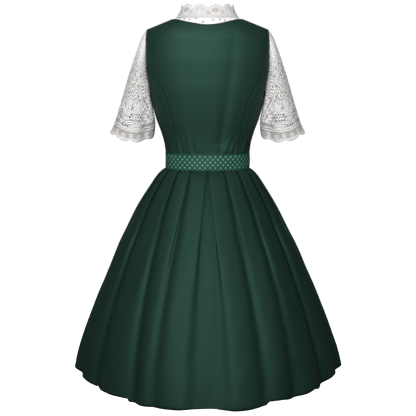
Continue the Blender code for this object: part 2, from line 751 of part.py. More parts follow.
def scalloped(width, repeat, depth):
    """How far a scalloped edge draws back at a place along it."""
    return depth * (1 - np.abs(np.sin(math.pi * width / repeat)) ** 0.7)


def make_sleeves(lace):
    """Each sleeve in a back and a front half, with its scalloped trim, also in halves."""
    radius = SLEEVE_PATTERN_RADIUS
    gap = SEAM_GAP / 2
    half_round = math.pi * radius
    repeat = 2 * half_round / CUFF_SCALLOPS
    for word, place in (("left", on_left_sleeve), ("right", on_right_sleeve)):
        for half, start in (("back", 0.0), ("front", half_round)):
            widths = np.linspace(start + gap, start + half_round - gap, 21)
            top = [(w, float(sleeve_length(w / radius)) - SEAM_GAP) for w in reversed(widths)]
            bottom = [(w, TRIM_WIDTH + gap) for w in widths]
            outline = bottom + top
            thickness = SLEEVE_THICKNESS / 2
            cloth_wall(f"sleeve_{word}_{half}", lace, outline, SLEEVE_SPACING, place,
                       thickness, -thickness, slits_in(outline))
            widths = np.linspace(start + gap, start + half_round - gap, 25)
            bottom = [(w, float(scalloped(w, repeat, SCALLOP_DEPTH))) for w in widths]
            top = [(w, TRIM_WIDTH - gap) for w in reversed(widths[::3])]
            thickness = TRIM_THICKNESS / 2
            cloth_wall(f"sleeve_trim_{word}_{half}", lace, bottom + top, TRIM_SPACING, place,
                       thickness, -thickness)


# -------------------------------------------------------------------------------- collar
def collar_foot(turn):
    """Line on the blouse where the collar stands, by turn from the centre back."""
    front = np.cos(turn) < 0
    across = COLLAR_SIDE * np.sin(turn)
    along = np.where(front, COLLAR_FRONT, COLLAR_BACK) * np.cos(turn)
    angle = np.arcsin(np.clip(np.abs(across) / UPPER_HALF, 0, 1) ** (SECTION_POWER / 2))
    reach = np.where(front, UPPER_FRONT, UPPER_BACK) * np.cos(angle) ** (2 / SECTION_POWER)
    lift = np.arccos(np.clip(np.abs(along) / reach, 0, 1))
    dome = dome_height(across)
    level = shoulder_height(across) - dome + dome * np.sin(lift) - COLLAR_SEAT
    return np.stack([across, along, level], axis=-1)


def collar_point(turn, up):
    """Middle of the collar's wall: it leaves the blouse flared and soon stands upright."""
    foot = collar_foot(turn)
    along = np.where(np.cos(turn) < 0, COLLAR_TOP_FRONT, COLLAR_TOP_BACK) * np.cos(turn)
    way = (up / COLLAR_HEIGHT)[..., None]
    top = np.stack([COLLAR_TOP_SIDE * np.sin(turn), along, foot[..., 2] + COLLAR_HEIGHT], axis=-1)
    drawn_in = 1 - (1 - np.clip(way, 0, 1)) ** (1 / COLLAR_SOFTNESS)
    level = foot[..., 2:] + COLLAR_HEIGHT * way
    plan = foot[..., :2] + (top[..., :2] - foot[..., :2]) * drawn_in
    return np.concatenate([plan, level], axis=-1)


def on_collar(width, up, out):
    return raised(collar_point, width / COLLAR_PATTERN_RADIUS, up, out)


def make_collar(lace):
    radius = COLLAR_PATTERN_RADIUS
    end = math.radians(180 - COLLAR_OPENING) * radius
    repeat = 2 * end / COLLAR_SCALLOPS
    widths = np.linspace(-end, end, 5 * COLLAR_SCALLOPS + 1)
    top = [(w, COLLAR_HEIGHT - float(scalloped(w, repeat, COLLAR_SCALLOP))) for w in reversed(widths)]
    bottom = [(w, SEAM_GAP) for w in widths[::2]]
    thickness = TRIM_THICKNESS / 2
    cloth_wall("collar", lace, bottom + top, TRIM_SPACING, on_collar, thickness, -thickness)


# --------------------------------------------------------------------------------- skirt
# under the ribbon the skirt has the body's own shape
SKIRT_TOP = tuple((level, *map(float, BODY_PROFILE.at(level)), SECTION_POWER)
                  for level in (WAIST_SEAM, RIBBON_BOTTOM))
SKIRT_PROFILE = Profile(SKIRT_TOP + SKIRT)


def skirt_point(angle, level):
    """Point of the smooth flared surface that the skirt's outer layer follows."""
    half, back, front, power = SKIRT_PROFILE.at(level)
    across = half * signed_power(np.sin(angle), 2 / power)
    depth_way = signed_power(np.cos(angle), 2 / power)
    along = np.where(depth_way > 0, back, front) * depth_way
    return np.stack([across, along, level + 0 * angle], axis=-1)


def opened(level):
    """0 where the pleats are pressed flat at the waist, 1 at the hem."""
    way = np.clip((RIBBON_BOTTOM - level) / (RIBBON_BOTTOM - SKIRT_HEM), 0, 1)
    return way ** OPEN_POWER


class Ring:
    """One level of the skirt: turns lengths round the smooth surface into angles."""

    def __init__(self, level):
        self.level = level
        self.angles = np.linspace(0, math.pi, 721)
        points = skirt_point(self.angles, np.full(721, level))
        steps = np.linalg.norm(np.diff(points, axis=0), axis=1)
        self.lengths = np.concatenate([[0], np.cumsum(steps)])

    def length(self, angle):
        return float(np.interp(angle, self.angles, self.lengths))

    def angle(self, length):
        return np.sign(length) * np.interp(np.abs(length), self.lengths, self.angles)


def pleat_points(row, ring, share, first):
    """One pleat's cloth as lengths from its fold edge and depths, from pressed to let go."""
    under, depth, width = row[2:]
    layer = SKIRT_THICKNESS + FOLD_GAP
    # length pressed, depth pressed, length let go, depth let go
    table = (
        (-0.0050, 0.0, -0.95 * width, -0.15 * depth),
        (-0.0010, -2 * layer, -0.42 * width, -0.90 * depth),
        (under, -2 * layer, -0.20 * width, -1.00 * depth),
        (under, -layer, 0.05 * width, -0.85 * depth),
        (0.0, -layer, 0.40 * width, -0.30 * depth),
        (0.0, 0.0, 0.70 * width, 0.0),
    )
    edge = ring.length(math.radians(row[0] + (row[1] - row[0]) * share))
    rows = table[2:] if first else table
    return [(edge + a + (c - a) * share, b + (d - b) * share) for a, b, c, d in rows]


def skirt_half(pleats, ring, share):
    """Half a ring's centre line from the centre back to the centre front, and its seams."""
    line, seams = [], []
    for number, row in enumerate(pleats):
        points = pleat_points(row, ring, share, number == 0)
        if number:
            before = line[-1]
            for way in (1 / 3, 2 / 3):
                bow = 0.004 * share * math.sin(math.pi * way)
                line.append((before[0] + (points[0][0] - before[0]) * way,
                             before[1] + (points[0][1] - before[1]) * way + bow))
        if number in SEAM_PLEATS:
            end, tip = points[1], points[2]
            middle = ((end[0] + tip[0]) / 2, (end[1] + tip[1]) / 2)
            span = math.dist(end, tip)
            step = [(tip[i] - end[i]) / span * SEAM_GAP / 2 for i in (0, 1)]
            seams.append(len(line) + 3)
            points[2:2] = [(middle[0] - step[0], middle[1] - step[1]),
                           (middle[0] + step[0], middle[1] + step[1])]
        line += points
    last = line[-1][0]
    front = ring.lengths[-1]
    for number in range(1, FRONT_POINTS + 1):
        way = number / FRONT_POINTS
        line.append((last + (front - last) * way, front_wave(way, share)))
    return line, seams


def front_wave(way, share):
    """Depth of the plain front's soft waves, from the last pleat to the centre front."""
    return -FRONT_WAVE * share * math.sin(math.pi * FRONT_WAVES * way) ** 2


def offset_line(line, distance):
    """A polyline moved to its left by a distance, with mitred corners."""
    points = np.array(line)
    runs = np.diff(points, axis=0)
    runs /= np.linalg.norm(runs, axis=1, keepdims=True)
    before = np.vstack([runs[:1], runs])
    after = np.vstack([runs, runs[-1:]])
    left_before = np.stack([-before[:, 1], before[:, 0]], axis=1)
    left_after = np.stack([-after[:, 1], after[:, 0]], axis=1)
    mitre = left_before + left_after
    mitre /= np.maximum((mitre ** 2).sum(axis=1, keepdims=True) / 2, 0.6)
    return points + mitre * distance


def skirt_faces(heights):
    """Grids of points at heights above the skirt's outer face, and where its widths meet."""
    grids = [[] for _ in heights]
    for level in SKIRT_LEVELS:
        ring = Ring(level)
        share = float(opened(level))
        left, seams_left = skirt_half(PLEATS_LEFT, ring, share)
        right, seams_right = skirt_half(PLEATS_RIGHT, ring, share)
        middle = [(0.0, left[0][1])]
        line = [(-length, depth) for length, depth in reversed(right)] + middle + left
        for grid, height in zip(grids, heights):
            shifted = offset_line([(length, depth - SKIRT_THICKNESS / 2) for length, depth in line],
                                  height + SKIRT_THICKNESS / 2)
            angles = ring.angle(shifted[:, 0])
            grid.append(raised(skirt_point, angles, np.full(len(angles), level), shifted[:, 1]))
    seams = [len(right) - 1 - seam for seam in reversed(seams_right)]
    seams += [len(right) + seam for seam in seams_left]
    return [np.array(grid) for grid in grids], seams


def make_skirt(finish):
    """The skirt's four widths, joined under pleats."""
    faces, seams = skirt_faces((0.0, -SKIRT_THICKNESS))
    names = ("skirt_side_right", "skirt_back", "skirt_side_left")
    for name, start, end in zip(names, seams[:-1], seams[1:]):
        ring_wall(name, finish, *(face[:, start + 1:end + 1] for face in faces))
    # the front runs from the last seam over the centre front, where both halves share a point
    around = [np.concatenate([face[:, seams[-1] + 1:], face[:, 1:seams[0] + 1]], axis=1)
              for face in faces]
    ring_wall("skirt_front", finish, *around)


def make_apron(finish):
    """The apron's panel, made from the points of the skirt's front, moved out."""
    faces, _ = skirt_faces((LAYER_GAP + APRON_THICKNESS, LAYER_GAP))
    around = [np.concatenate([face[:, -APRON_COLUMNS - 1:], face[:, 1:APRON_COLUMNS + 1]], axis=1)
              for face in faces]
    ring_wall("apron_panel", finish, *(face[APRON_LEVELS] for face in around))


def make_ribbon(finish):
    angles = np.linspace(0, 2 * math.pi, 80, endpoint=False)
    levels = np.array([RIBBON_TOP, RIBBON_BOTTOM])
    grid_angle, grid_level = np.meshgrid(angles, levels)
    faces = [raised(body_point, grid_angle, grid_level, np.full(grid_angle.shape, out))
             for out in (RIBBON_LIFT + RIBBON_THICKNESS, RIBBON_LIFT)]
    ring_wall("waist_ribbon", finish, *faces, closed=True)


def main():
    for old in list(bpy.data.objects):
        bpy.data.objects.remove(old, do_unlink=True)
    finishes = {name: make_finish(name) for name in FINISHES}
    make_body(finishes["satin_green"], finishes["cotton_white"])
    make_sleeves(finishes["lace_white"])
    make_collar(finishes["lace_white"])
    make_skirt(finishes["satin_green"])
    make_apron(finishes["apron_green"])
    make_ribbon(finishes["ribbon_green"])


main()
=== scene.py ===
"""The looks of a dirndl set: satin dress, lace blouse, jacquard ribbon waistband and apron.

Metres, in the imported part's frame: +Z up, the wearer faces -Y, their left is +X. Each piece
of cloth is rebuilt finely on the same surfaces as the part's solids. A piece is drawn as a
flat pattern (across, up) and laid on its surface, so seams, folds and lace keep to the cloth.
"""

import math

import bpy
import numpy as np
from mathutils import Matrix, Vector
from mathutils.geometry import delaunay_2d_cdt


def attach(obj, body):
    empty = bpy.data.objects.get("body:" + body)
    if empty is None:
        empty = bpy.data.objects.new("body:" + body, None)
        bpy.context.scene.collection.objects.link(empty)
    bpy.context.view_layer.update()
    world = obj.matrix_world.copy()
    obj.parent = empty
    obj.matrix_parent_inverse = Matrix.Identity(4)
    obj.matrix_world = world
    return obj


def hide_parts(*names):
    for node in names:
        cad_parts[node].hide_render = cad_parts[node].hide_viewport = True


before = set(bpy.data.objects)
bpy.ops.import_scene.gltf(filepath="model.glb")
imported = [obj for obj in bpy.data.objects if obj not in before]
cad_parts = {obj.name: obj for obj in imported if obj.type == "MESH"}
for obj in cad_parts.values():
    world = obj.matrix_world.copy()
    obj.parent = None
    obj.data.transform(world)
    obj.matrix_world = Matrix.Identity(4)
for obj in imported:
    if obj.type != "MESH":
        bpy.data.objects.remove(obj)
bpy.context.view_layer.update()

# ---- sizes, as in the solids
BODICE_THICKNESS, SKIRT_THICKNESS = 0.0013, 0.0012
BLOUSE_THICKNESS, RIBBON_THICKNESS = 0.001, 0.001
LAYER_GAP, SEAM_GAP, RIBBON_LIFT = 0.0004, 0.0003, 0.0006

WAIST_SEAM, SKIRT_HEM, BLOUSE_HEM = -0.4443, -1.082, -0.275
RIBBON_BOTTOM, RIBBON_TOP = -0.453, -0.4065

SECTION_POWER = 2.3  # how square the body's sections are; 2 would be an ellipse
PATTERN_RADIUS = 0.16  # turns an angle round the body into a width of the flat pattern
NECK_HALF, NECK_RISE = 0.102, 0.0193
SHOULDER_SLOPE, SHOULDER_DOME = 0.395, 0.06
NECK_DOME, NECK_DOME_REACH = 0.04, 0.13

# height, half width, back depth, front depth
BODY = (
    (-0.462, 0.1284, 0.0905, 0.096), (-0.412, 0.1283, 0.088, 0.095),
    (-0.38, 0.1318, 0.089, 0.098), (-0.344, 0.142, 0.092, 0.104),
    (-0.302, 0.1574, 0.098, 0.112), (-0.248, 0.1717, 0.104, 0.118),
    (-0.2, 0.1811, 0.107, 0.115), (-0.14, 0.1914, 0.107, 0.105),
    (-0.06, 0.1927, 0.102, 0.093), (0.1, 0.1927, 0.102, 0.093),
)
CUP_SIDE, CUP_LEVEL = 0.078, -0.245
CUP_WIDTH, CUP_HEIGHT, CUP_FULLNESS = 0.06, 0.075, 0.014

SHOULDER_TIP = 70.0
DRESS_NECK_SIDE, DRESS_NECK_BACK = 0.104, 0.0832
COLLAR_SIDE, COLLAR_BACK, COLLAR_FRONT = 0.0965, 0.062, 0.084
SLIT_HALF, SLIT_END = 0.01, -0.15
PRINCESS_TURN = 107.0
# turn round the armhole from the shoulder tip, angle, height
ARMHOLE = (
    (30.0, 71.4, -0.02), (60.0, 73.6, -0.062), (90.0, 75.2, -0.112), (120.0, 77.2, -0.16),
    (150.0, 81.8, -0.21), (180.0, 90.0, -0.235), (210.0, 98.6, -0.21), (240.0, 104.2, -0.16),
    (270.0, 106.6, -0.112), (300.0, 108.2, -0.062), (330.0, 109.2, -0.02),
)
# height, angle of the back's shaping seam
PRINCESS = (
    (-0.4443, 44.5), (-0.393, 43.8), (-0.353, 42.0), (-0.307, 40.0), (-0.261, 41.0),
    (-0.22, 47.0), (-0.184, 56.0), (-0.155, 67.5),
)
# distance from the centre front, height of the dress's front neckline
FRONT_NECKLINE = (
    (0.0, -0.176), (0.03, -0.1755), (0.056, -0.169), (0.074, -0.153), (0.084, -0.125),
    (0.092, -0.085), (0.1, -0.042),
)

CUFF_CENTRE = (0.2342, 0.0, -0.353)
CUFF_HALF_WIDTH, CUFF_HALF_DEPTH = 0.0665, 0.064
CUFF_TILT, CUFF_DROP = 0.0085, 0.0185
SLEEVE_RADIUS, SLEEVE_TOP_OUT = 0.064, 0.0011
SLEEVE_SIDE_BULGE, SLEEVE_CLEARANCE, SLEEVE_SOFTNESS = 0.01, 0.0016, 0.004
FREE_BELOW, FREE_OVER = -0.2, 0.04  # from here down the sleeve keeps clear of the dress
INNER_EASE = 0.0115  # how far the side beside the body hangs in
FOLD_TURN, FOLD_WIDTH, FOLD_DEPTH = 128.0, 15.0, 0.0075  # a crease down the sleeve
TRIM_WIDTH, SCALLOP_DEPTH, CUFF_SCALLOPS = 0.032, 0.008, 8
# way down the sleeve, how far its outer side stands out
SLEEVE_BULGE = (
    (0.0, 0.0), (0.1, 0.008), (0.26, 0.0076), (0.46, 0.0053), (0.72, -0.001),
    (0.91, -0.0035), (1.0, 0.0),
)
LACE_REPEATS, LACE_START = 6, 0.0726
SLIT_CLEARANCE, WINDOW_CLEARANCE = 0.0045, 0.003  # cloth left between an opening and an edge
# the open slits of a repeat: across from its middle, run up, angle, length, width (mm)
SLITS = (
    (-15.5, 104, 127, 12, 5), (16, 104.5, 52, 12, 5),
    (30, 140, 96, 11.5, 4.6), (-14, 144, 48, 10.5, 4.6), (14, 147, 140, 9.5, 4.6),
    (-22, 168, 118, 11, 4.6), (21, 172, 58, 11, 4.6), (2, 176, 84, 12, 4.6),
    (-8, 200, 104, 11, 4.6), (22, 203, 122, 10.5, 4.6),
    (-27, 208, 62, 10.5, 4.6), (8, 225, 80, 10, 4.6),
    (-15, 232, 125, 10, 4.6),
)
FLOWER_UP = 116.0  # run of the large flowers' middles (mm)

COLLAR_HEIGHT, COLLAR_RADIUS = 0.04, 0.08
COLLAR_SCALLOP, COLLAR_SCALLOPS, COLLAR_OPENING = 0.0125, 10, 13.0
COLLAR_TOP_SIDE, COLLAR_TOP_BACK, COLLAR_TOP_FRONT = 0.0785, 0.048, 0.07
COLLAR_SOFTNESS, COLLAR_SEAT, COLLAR_BAND = 0.55, 0.0007, 0.01

# height, half width, back depth, front depth, section power
SKIRT = (
    (-0.457, 0.1368, 0.098, 0.103, 2.28), (-0.473, 0.1537, 0.119, 0.124, 2.2),
    (-0.5085, 0.1775, 0.148, 0.152, 2.1), (-0.571, 0.2155, 0.19, 0.189, 2.04),
    (-0.6345, 0.248, 0.226, 0.22, 2.0), (-0.6975, 0.2804, 0.26, 0.251, 2.0),
    (-0.762, 0.308, 0.29, 0.278, 2.0), (-0.825, 0.3355, 0.319, 0.305, 1.96),
    (-0.889, 0.361, 0.348, 0.332, 1.92), (-0.952, 0.384, 0.375, 0.357, 1.87),
    (-1.016, 0.4055, 0.401, 0.38, 1.81), (-1.082, 0.4215, 0.424, 0.4, 1.76),
)
FOLD_GAP, OPEN_POWER = 0.0006, 0.85
SKIRT_LENGTH, HEM_WIDTH = 0.667, 0.02  # of the cloth down to the hem's fold, and turned in
# angle at the waist and at the hem, fold under the edge, valley depth and width at the hem
PLEATS_LEFT = (
    (0.5, 8.5, 0.016, 0.014, 0.026), (19.0, 25.0, 0.013, 0.013, 0.024),
    (37.0, 34.5, 0.012, 0.016, 0.026), (57.5, 56.5, 0.013, 0.017, 0.028),
    (75.0, 74.0, 0.012, 0.015, 0.026), (93.0, 92.5, 0.012, 0.016, 0.028),
    (111.0, 111.0, 0.012, 0.015, 0.026), (128.0, 128.5, 0.012, 0.014, 0.026),
)
PLEATS_RIGHT = (
    (0.5, 10.0, 0.016, 0.013, 0.024), (18.5, 27.5, 0.013, 0.015, 0.026),
    (37.5, 40.5, 0.012, 0.014, 0.025), (58.0, 59.5, 0.013, 0.018, 0.03),
    (75.5, 75.5, 0.012, 0.016, 0.026), (93.5, 93.0, 0.012, 0.015, 0.027),
    (110.5, 111.5, 0.012, 0.016, 0.028), (128.0, 128.0, 0.012, 0.014, 0.026),
)
SEAM_PLEATS = (3, 7)  # under these the skirt's widths meet
FRONT_POINTS, FRONT_WAVE, FRONT_WAVES = 8, 0.01, 2

# ---- sizes of the fine work
BODICE_MESH, LACE_MESH, TRIM_MESH = 0.005, 0.0016, 0.0017
YOKE_MESH, COARSE_MESH, COARSE_BELOW = 0.0026, 0.009, -0.195
ROW_SHARE = 0.87  # distance between a staggered mesh's rows, as a share of its spacing
EDGE_CLEAR, HOLE_CLEAR = 0.45, 0.40  # free of points beside edges and holes, in spacings
SHARP = math.radians(60)
SKIRT_ROWS, ROW_POWER, CORNER_CUTS = 96, 1.25, 2  # the rows lie closer at the waist
RING_POINTS, RIBBON_COLUMNS, RIBBON_ROWS = 721, 361, 18
CUT_SAMPLES = 0.004  # between the places where a pattern's stretch is measured


class Profile:
    """Smooth curve through a table's rows: the first column is the key, the rest are values."""

    def __init__(self, rows):
        table = np.array(sorted(rows), dtype=float)
        self.keys = table[:, 0]
        self.values = table[:, 1:]
        rises = np.diff(self.values, axis=0) / np.diff(self.keys)[:, None]
        total = rises[:-1] + rises[1:]
        same_way = rises[:-1] * rises[1:] > 0
        self.slopes = np.zeros_like(self.values)
        self.slopes[1:-1] = np.where(
            same_way, 2 * rises[:-1] * rises[1:] / np.where(same_way, total, 1.0), 0.0)
        self.slopes[0] = rises[0]
        self.slopes[-1] = rises[-1]

    def at(self, key):
        key = np.clip(np.asarray(key, dtype=float), self.keys[0], self.keys[-1])
        row = np.clip(np.searchsorted(self.keys, key, side="right") - 1, 0, len(self.keys) - 2)
        step = (self.keys[row + 1] - self.keys[row])[..., None]
        way = (key - self.keys[row])[..., None] / step
        start, end = self.values[row], self.values[row + 1]
        slope_in, slope_out = self.slopes[row] * step, self.slopes[row + 1] * step
        curve = (start * (1 + 2 * way) * (1 - way) ** 2 + slope_in * way * (1 - way) ** 2
                 + end * way ** 2 * (3 - 2 * way) + slope_out * way ** 2 * (way - 1))
        return np.moveaxis(curve, -1, 0)


def signed_power(value, power):
    return np.sign(value) * np.abs(value) ** power


def joined(*parts):
    """Arrays side by side, as the columns or coordinates of one."""
    return np.stack(parts, axis=-1)


def bell(distance, width):
    """1 at no distance, falling off smoothly over about a width."""
    return np.exp(-(distance / width) ** 2)


def smooth_step(value, low, high):
    way = np.clip((value - low) / (high - low), 0, 1)
    return way * way * (3 - 2 * way)


# ---- body surface
BODY_PROFILE = Profile(BODY)
UPPER_HALF, UPPER_BACK, UPPER_FRONT = BODY_PROFILE.at(0.0)


def shoulder_height(across):
    reach = np.abs(across)
    arch = NECK_RISE * (1 - (reach / NECK_HALF) ** 2)
    return np.where(reach < NECK_HALF, arch, -SHOULDER_SLOPE * (reach - NECK_HALF))


def dome_height(across):
    reach = np.minimum(np.abs(across) / NECK_DOME_REACH, 1.0)
    return SHOULDER_DOME + NECK_DOME * np.cos(math.pi / 2 * reach) ** 2


def section_point(angle, half, back, front, power):
    """Place on a closed section at an angle from the centre back, and its share of the depth."""
    depth_way = signed_power(np.cos(angle), 2 / power)
    along = np.where(depth_way > 0, back, front) * depth_way
    return half * signed_power(np.sin(angle), 2 / power), along, depth_way


def body_point(angle, height):
    """Point of the dress's outer face at an angle from the centre back."""
    across, along, depth_way = section_point(angle, *BODY_PROFILE.at(height), SECTION_POWER)
    dome = dome_height(across)
    start = shoulder_height(across) - dome
    lift = np.clip((height - start) / dome, 0, math.pi / 2)
    level = np.where(lift > 0, start + dome * np.sin(lift), height)
    cup = bell(np.abs(across) - CUP_SIDE, CUP_WIDTH) * bell(level - CUP_LEVEL, CUP_HEIGHT)
    along = along - CUP_FULLNESS * cup * np.clip(-depth_way, 0, 1) ** 0.5
    return joined(across, along * np.cos(lift), level)


def raised(surface, first, second, out, step=2e-4):
    """Point of a surface moved out along its normal."""
    run_first = surface(first + step, second) - surface(first - step, second)
    run_second = surface(first, second + step) - surface(first, second - step)
    normal = np.cross(run_second, run_first)
    normal /= np.linalg.norm(normal, axis=-1, keepdims=True)
    return surface(first, second) + normal * np.asarray(out)[..., None]


def mirrored(place):
    """The same place on the wearer's right."""
    return lambda across, up, out: place(across, up, out) * np.array([-1.0, 1.0, 1.0])


def on_body(width, height, out):
    return raised(body_point, width / PATTERN_RADIUS, height, out)


def seam_height(angle):
    """Height, along the cloth, of the shoulder seam at an angle."""
    across = UPPER_HALF * signed_power(np.sin(angle), 2 / SECTION_POWER)
    dome = dome_height(across)
    return shoulder_height(across) - dome + dome * math.pi / 2


def angle_across(across, height, front=False):
    """Angle of the point at a distance from the middle."""
    half = BODY_PROFILE.at(height)[0]
    angle = np.arcsin(np.clip(across / half, -1, 1) ** (SECTION_POWER / 2))
    return math.pi - angle if front else angle


def neck_oval(side, depth, turns, front=False):
    """Pattern points of an oval neckline, from the middle to the shoulder seam."""
    points = []
    for turn in np.radians(turns):
        across = side * math.sin(turn)
        angle = float(angle_across(across, 0.0, front))
        reach = (UPPER_FRONT if front else UPPER_BACK) * abs(math.cos(angle)) ** (2 / SECTION_POWER)
        dome = float(dome_height(across))
        lift = math.acos(min(depth * math.cos(turn) / reach, 1.0))
        points.append((angle * PATTERN_RADIUS, float(shoulder_height(across)) - dome + dome * lift))
    return points


TIP_ANGLE = math.radians(SHOULDER_TIP)
ARMHOLE_PROFILE = Profile(
    ((0.0, SHOULDER_TIP, float(seam_height(TIP_ANGLE))),) + ARMHOLE
    + ((360.0, 180 - SHOULDER_TIP, float(seam_height(TIP_ANGLE))),))
PRINCESS_TOP = ARMHOLE_PROFILE.at(PRINCESS_TURN)
PRINCESS_PROFILE = Profile(PRINCESS + ((float(PRINCESS_TOP[1]), float(PRINCESS_TOP[0])),))
SIDE = math.pi / 2 * PATTERN_RADIUS
FRONT_CENTRE = math.pi * PATTERN_RADIUS


def armhole(start, end):
    """Pattern points of the armhole between two turns from the shoulder tip."""
    angle, height = ARMHOLE_PROFILE.at(np.linspace(start, end, int(abs(end - start) / 4) + 2))
    return list(zip(np.radians(angle) * PATTERN_RADIUS, height))


def princess_line():
    heights = np.append(np.linspace(WAIST_SEAM, PRINCESS[-1][0], 50), float(PRINCESS_TOP[1]))
    angles = PRINCESS_PROFILE.at(heights)[0]
    return [(math.radians(a) * PATTERN_RADIUS, h) for a, h in zip(angles, heights)]


def shoulder_line(front, inner):
    """The shoulder seam from a distance from the middle out to the tip."""
    angles = np.linspace(float(angle_across(inner, 0.0)), TIP_ANGLE, 16)
    return [((math.pi - angle if front else angle) * PATTERN_RADIUS, float(seam_height(angle)))
            for angle in angles]


def front_neckline():
    """The dress's neckline from the centre front up to the shoulder seam."""
    profile = Profile([(height, across) for across, height in FRONT_NECKLINE[1:]])
    heights = np.linspace(FRONT_NECKLINE[1][1], FRONT_NECKLINE[-1][1], 24)
    line = [(float(angle_across(float(profile.at(h)[0]), h, True)) * PATTERN_RADIUS, h)
            for h in heights]
    return [(FRONT_CENTRE, FRONT_NECKLINE[0][1])] + line + [shoulder_line(True, DRESS_NECK_SIDE)[0]]


# ---- cloth from patterns
def divided(outline, spacing):
    """The outline with its long edges divided."""
    result = []
    for here, there in zip(outline, outline[1:] + outline[:1]):
        parts = max(1, round(math.dist(here, there) / spacing))
        result += [(here[0] + (there[0] - here[0]) * part / parts,
                    here[1] + (there[1] - here[1]) * part / parts) for part in range(parts)]
    return result


def inside(points, outline):
    """Which points lie inside a closed outline."""
    line = np.asarray(outline)
    after = np.roll(line, -1, axis=0)
    result = np.zeros(len(points), dtype=bool)
    for (x1, y1), (x2, y2) in zip(line, after):
        crosses = (y1 > points[:, 1]) != (y2 > points[:, 1])
        rise = y2 - y1 if y2 != y1 else 1e-12
        result ^= crosses & (points[:, 0] < (x2 - x1) * (points[:, 1] - y1) / rise + x1)
    return result


def distance_to(points, outline, closed=True):
    """Distance of each point from an outline."""
    line = np.asarray(outline, dtype=float)
    ends = np.roll(line, -1, axis=0) if closed else line[1:]
    best = np.full(len(points), np.inf)
    for start, end in zip(line, ends):
        span = end - start
        way = np.clip(((points - start) @ span) / max(span @ span, 1e-18), 0, 1)
        best = np.minimum(best, np.linalg.norm(points - start - way[:, None] * span, axis=1))
    return best


def lattice(low, high, spacing):
    """Points in staggered rows over a rectangle."""
    rows = np.arange(low[1] + spacing / 2, high[1], spacing * ROW_SHARE)
    columns = np.arange(low[0] + spacing * 0.25, high[0], spacing)
    grid = [np.stack([columns + spacing * 0.5 * (number % 2), np.full(len(columns), row)], axis=1)
            for number, row in enumerate(rows)]
    return np.concatenate(grid)


def border(triangles):
    """The edges that only one triangle has, in that triangle's direction."""
    edges = {(t[i], t[(i + 1) % 3]) for t in triangles for i in range(3)}
    return [edge for edge in edges if edge[::-1] not in edges]


def near_box(points, loop, margin):
    low, high = np.min(loop, axis=0) - margin, np.max(loop, axis=0) + margin
    return np.flatnonzero(((points > low) & (points < high)).all(axis=1))


def flat_cloth(outline, spacing, holes=(), coarse=None):
    """Points and triangles of a flat pattern with holes; coarse is (height, spacing) below it."""
    edge = divided(outline, spacing)
    grid = lattice(np.min(edge, axis=0), np.max(edge, axis=0), spacing)
    if coarse:
        height, wide = coarse
        rough = lattice(np.min(edge, axis=0), np.max(edge, axis=0), wide)
        grid = np.concatenate([grid[grid[:, 1] > height], rough[rough[:, 1] < height - wide / 2]])
    keep = inside(grid, edge)
    grid = grid[keep]
    grid = grid[distance_to(grid, edge) > spacing * EDGE_CLEAR]
    keep = np.ones(len(grid), dtype=bool)
    for hole in holes:
        near = near_box(grid, hole, spacing)
        block = grid[near]
        keep[near] &= ~inside(block, hole) & (distance_to(block, hole) > spacing * HOLE_CLEAR)
    loops = [edge] + [list(hole) for hole in holes]
    edges, start = [], 0
    for loop in loops:
        edges += [(start + i, start + (i + 1) % len(loop)) for i in range(len(loop))]
        start += len(loop)
    points = [Vector(p) for loop in loops for p in loop] + [Vector(p) for p in grid[keep]]
    flat, _, triangles, *_ = delaunay_2d_cdt(points, edges, [], 0, 1e-7)
    flat, triangles = np.array([tuple(p) for p in flat]), np.array(triangles)
    centres = flat[triangles].mean(axis=1)
    keep = inside(centres, edge)
    for hole in holes:
        near = near_box(centres, hole, spacing)
        keep[near] &= ~inside(centres[near], hole)
    return flat, triangles[keep]


def smooth_mesh(name, points, faces, flat, marks, finish):
    """A piece of cloth with its pattern as the map "cloth" and its marks as attributes."""
    mesh = bpy.data.meshes.new(name)
    mesh.from_pydata(points.tolist(), [], np.asarray(faces).tolist())
    corners = np.zeros(len(mesh.loops), dtype=np.int32)
    mesh.loops.foreach_get("vertex_index", corners)
    mesh.uv_layers.new(name="cloth").data.foreach_set("uv", flat[corners].ravel())
    for key, values in marks.items():
        mesh.attributes.new(key, "FLOAT", "POINT").data.foreach_set("value", values)
    mesh.shade_smooth()
    mesh.materials.append(finish)
    piece = bpy.data.objects.new(name, mesh)
    bpy.context.scene.collection.objects.link(piece)
    return piece


def lay_wall(name, flat, triangles, place, outer, inner, finish, marks, loose):
    """A flat pattern laid on a surface as a closed wall; loose moves both faces together."""
    count = len(flat)
    edge = border(triangles.tolist())
    rim = [(b, a, a + count) for a, b in edge] + [(b, a + count, b + count) for a, b in edge]
    faces = triangles.tolist() + (triangles[:, ::-1] + count).tolist() + rim
    layers = [place(flat[:, 0], flat[:, 1], loose + out) for out in (outer, inner)]
    marks = {key: np.tile(values, 2) for key, values in marks.items()}
    piece = smooth_mesh(name, np.concatenate(layers), faces, np.tile(flat, (2, 1)), marks, finish)
    piece.data.set_sharp_from_angle(angle=SHARP)
    return piece


LACE_EDGE, RIM_SHADE_SHARE = 0.0007, 0.2  # depth of a cut edge, and the share of the marks it keeps, which paints shade on its turned-in wall


def lay_lace(name, flat, triangles, place, relief, finish, marks):
    """A lace sheet whose cut edges are turned in, so that they show a thickness and carry painted shade.
    """
    count = len(flat)
    edge = border(triangles.tolist())
    rim = sorted({corner for pair in edge for corner in pair})
    number = {corner: count + i for i, corner in enumerate(rim)}
    walls = [(b, a, number[a]) for a, b in edge] + [(b, number[a], number[b]) for a, b in edge]
    top = place(flat[:, 0], flat[:, 1], relief)
    low = place(flat[rim, 0], flat[rim, 1], relief[rim] - LACE_EDGE)
    # the turned-in walls keep only a share of the marks: painted shade, darker and sheerer inside the
    # openings
    marks = {key: np.concatenate([values, RIM_SHADE_SHARE * values[rim]]) for key, values in marks.items()}
    return smooth_mesh(name, np.concatenate([top, low]), triangles.tolist() + walls,
                       np.concatenate([flat, flat[rim]]), marks, finish)


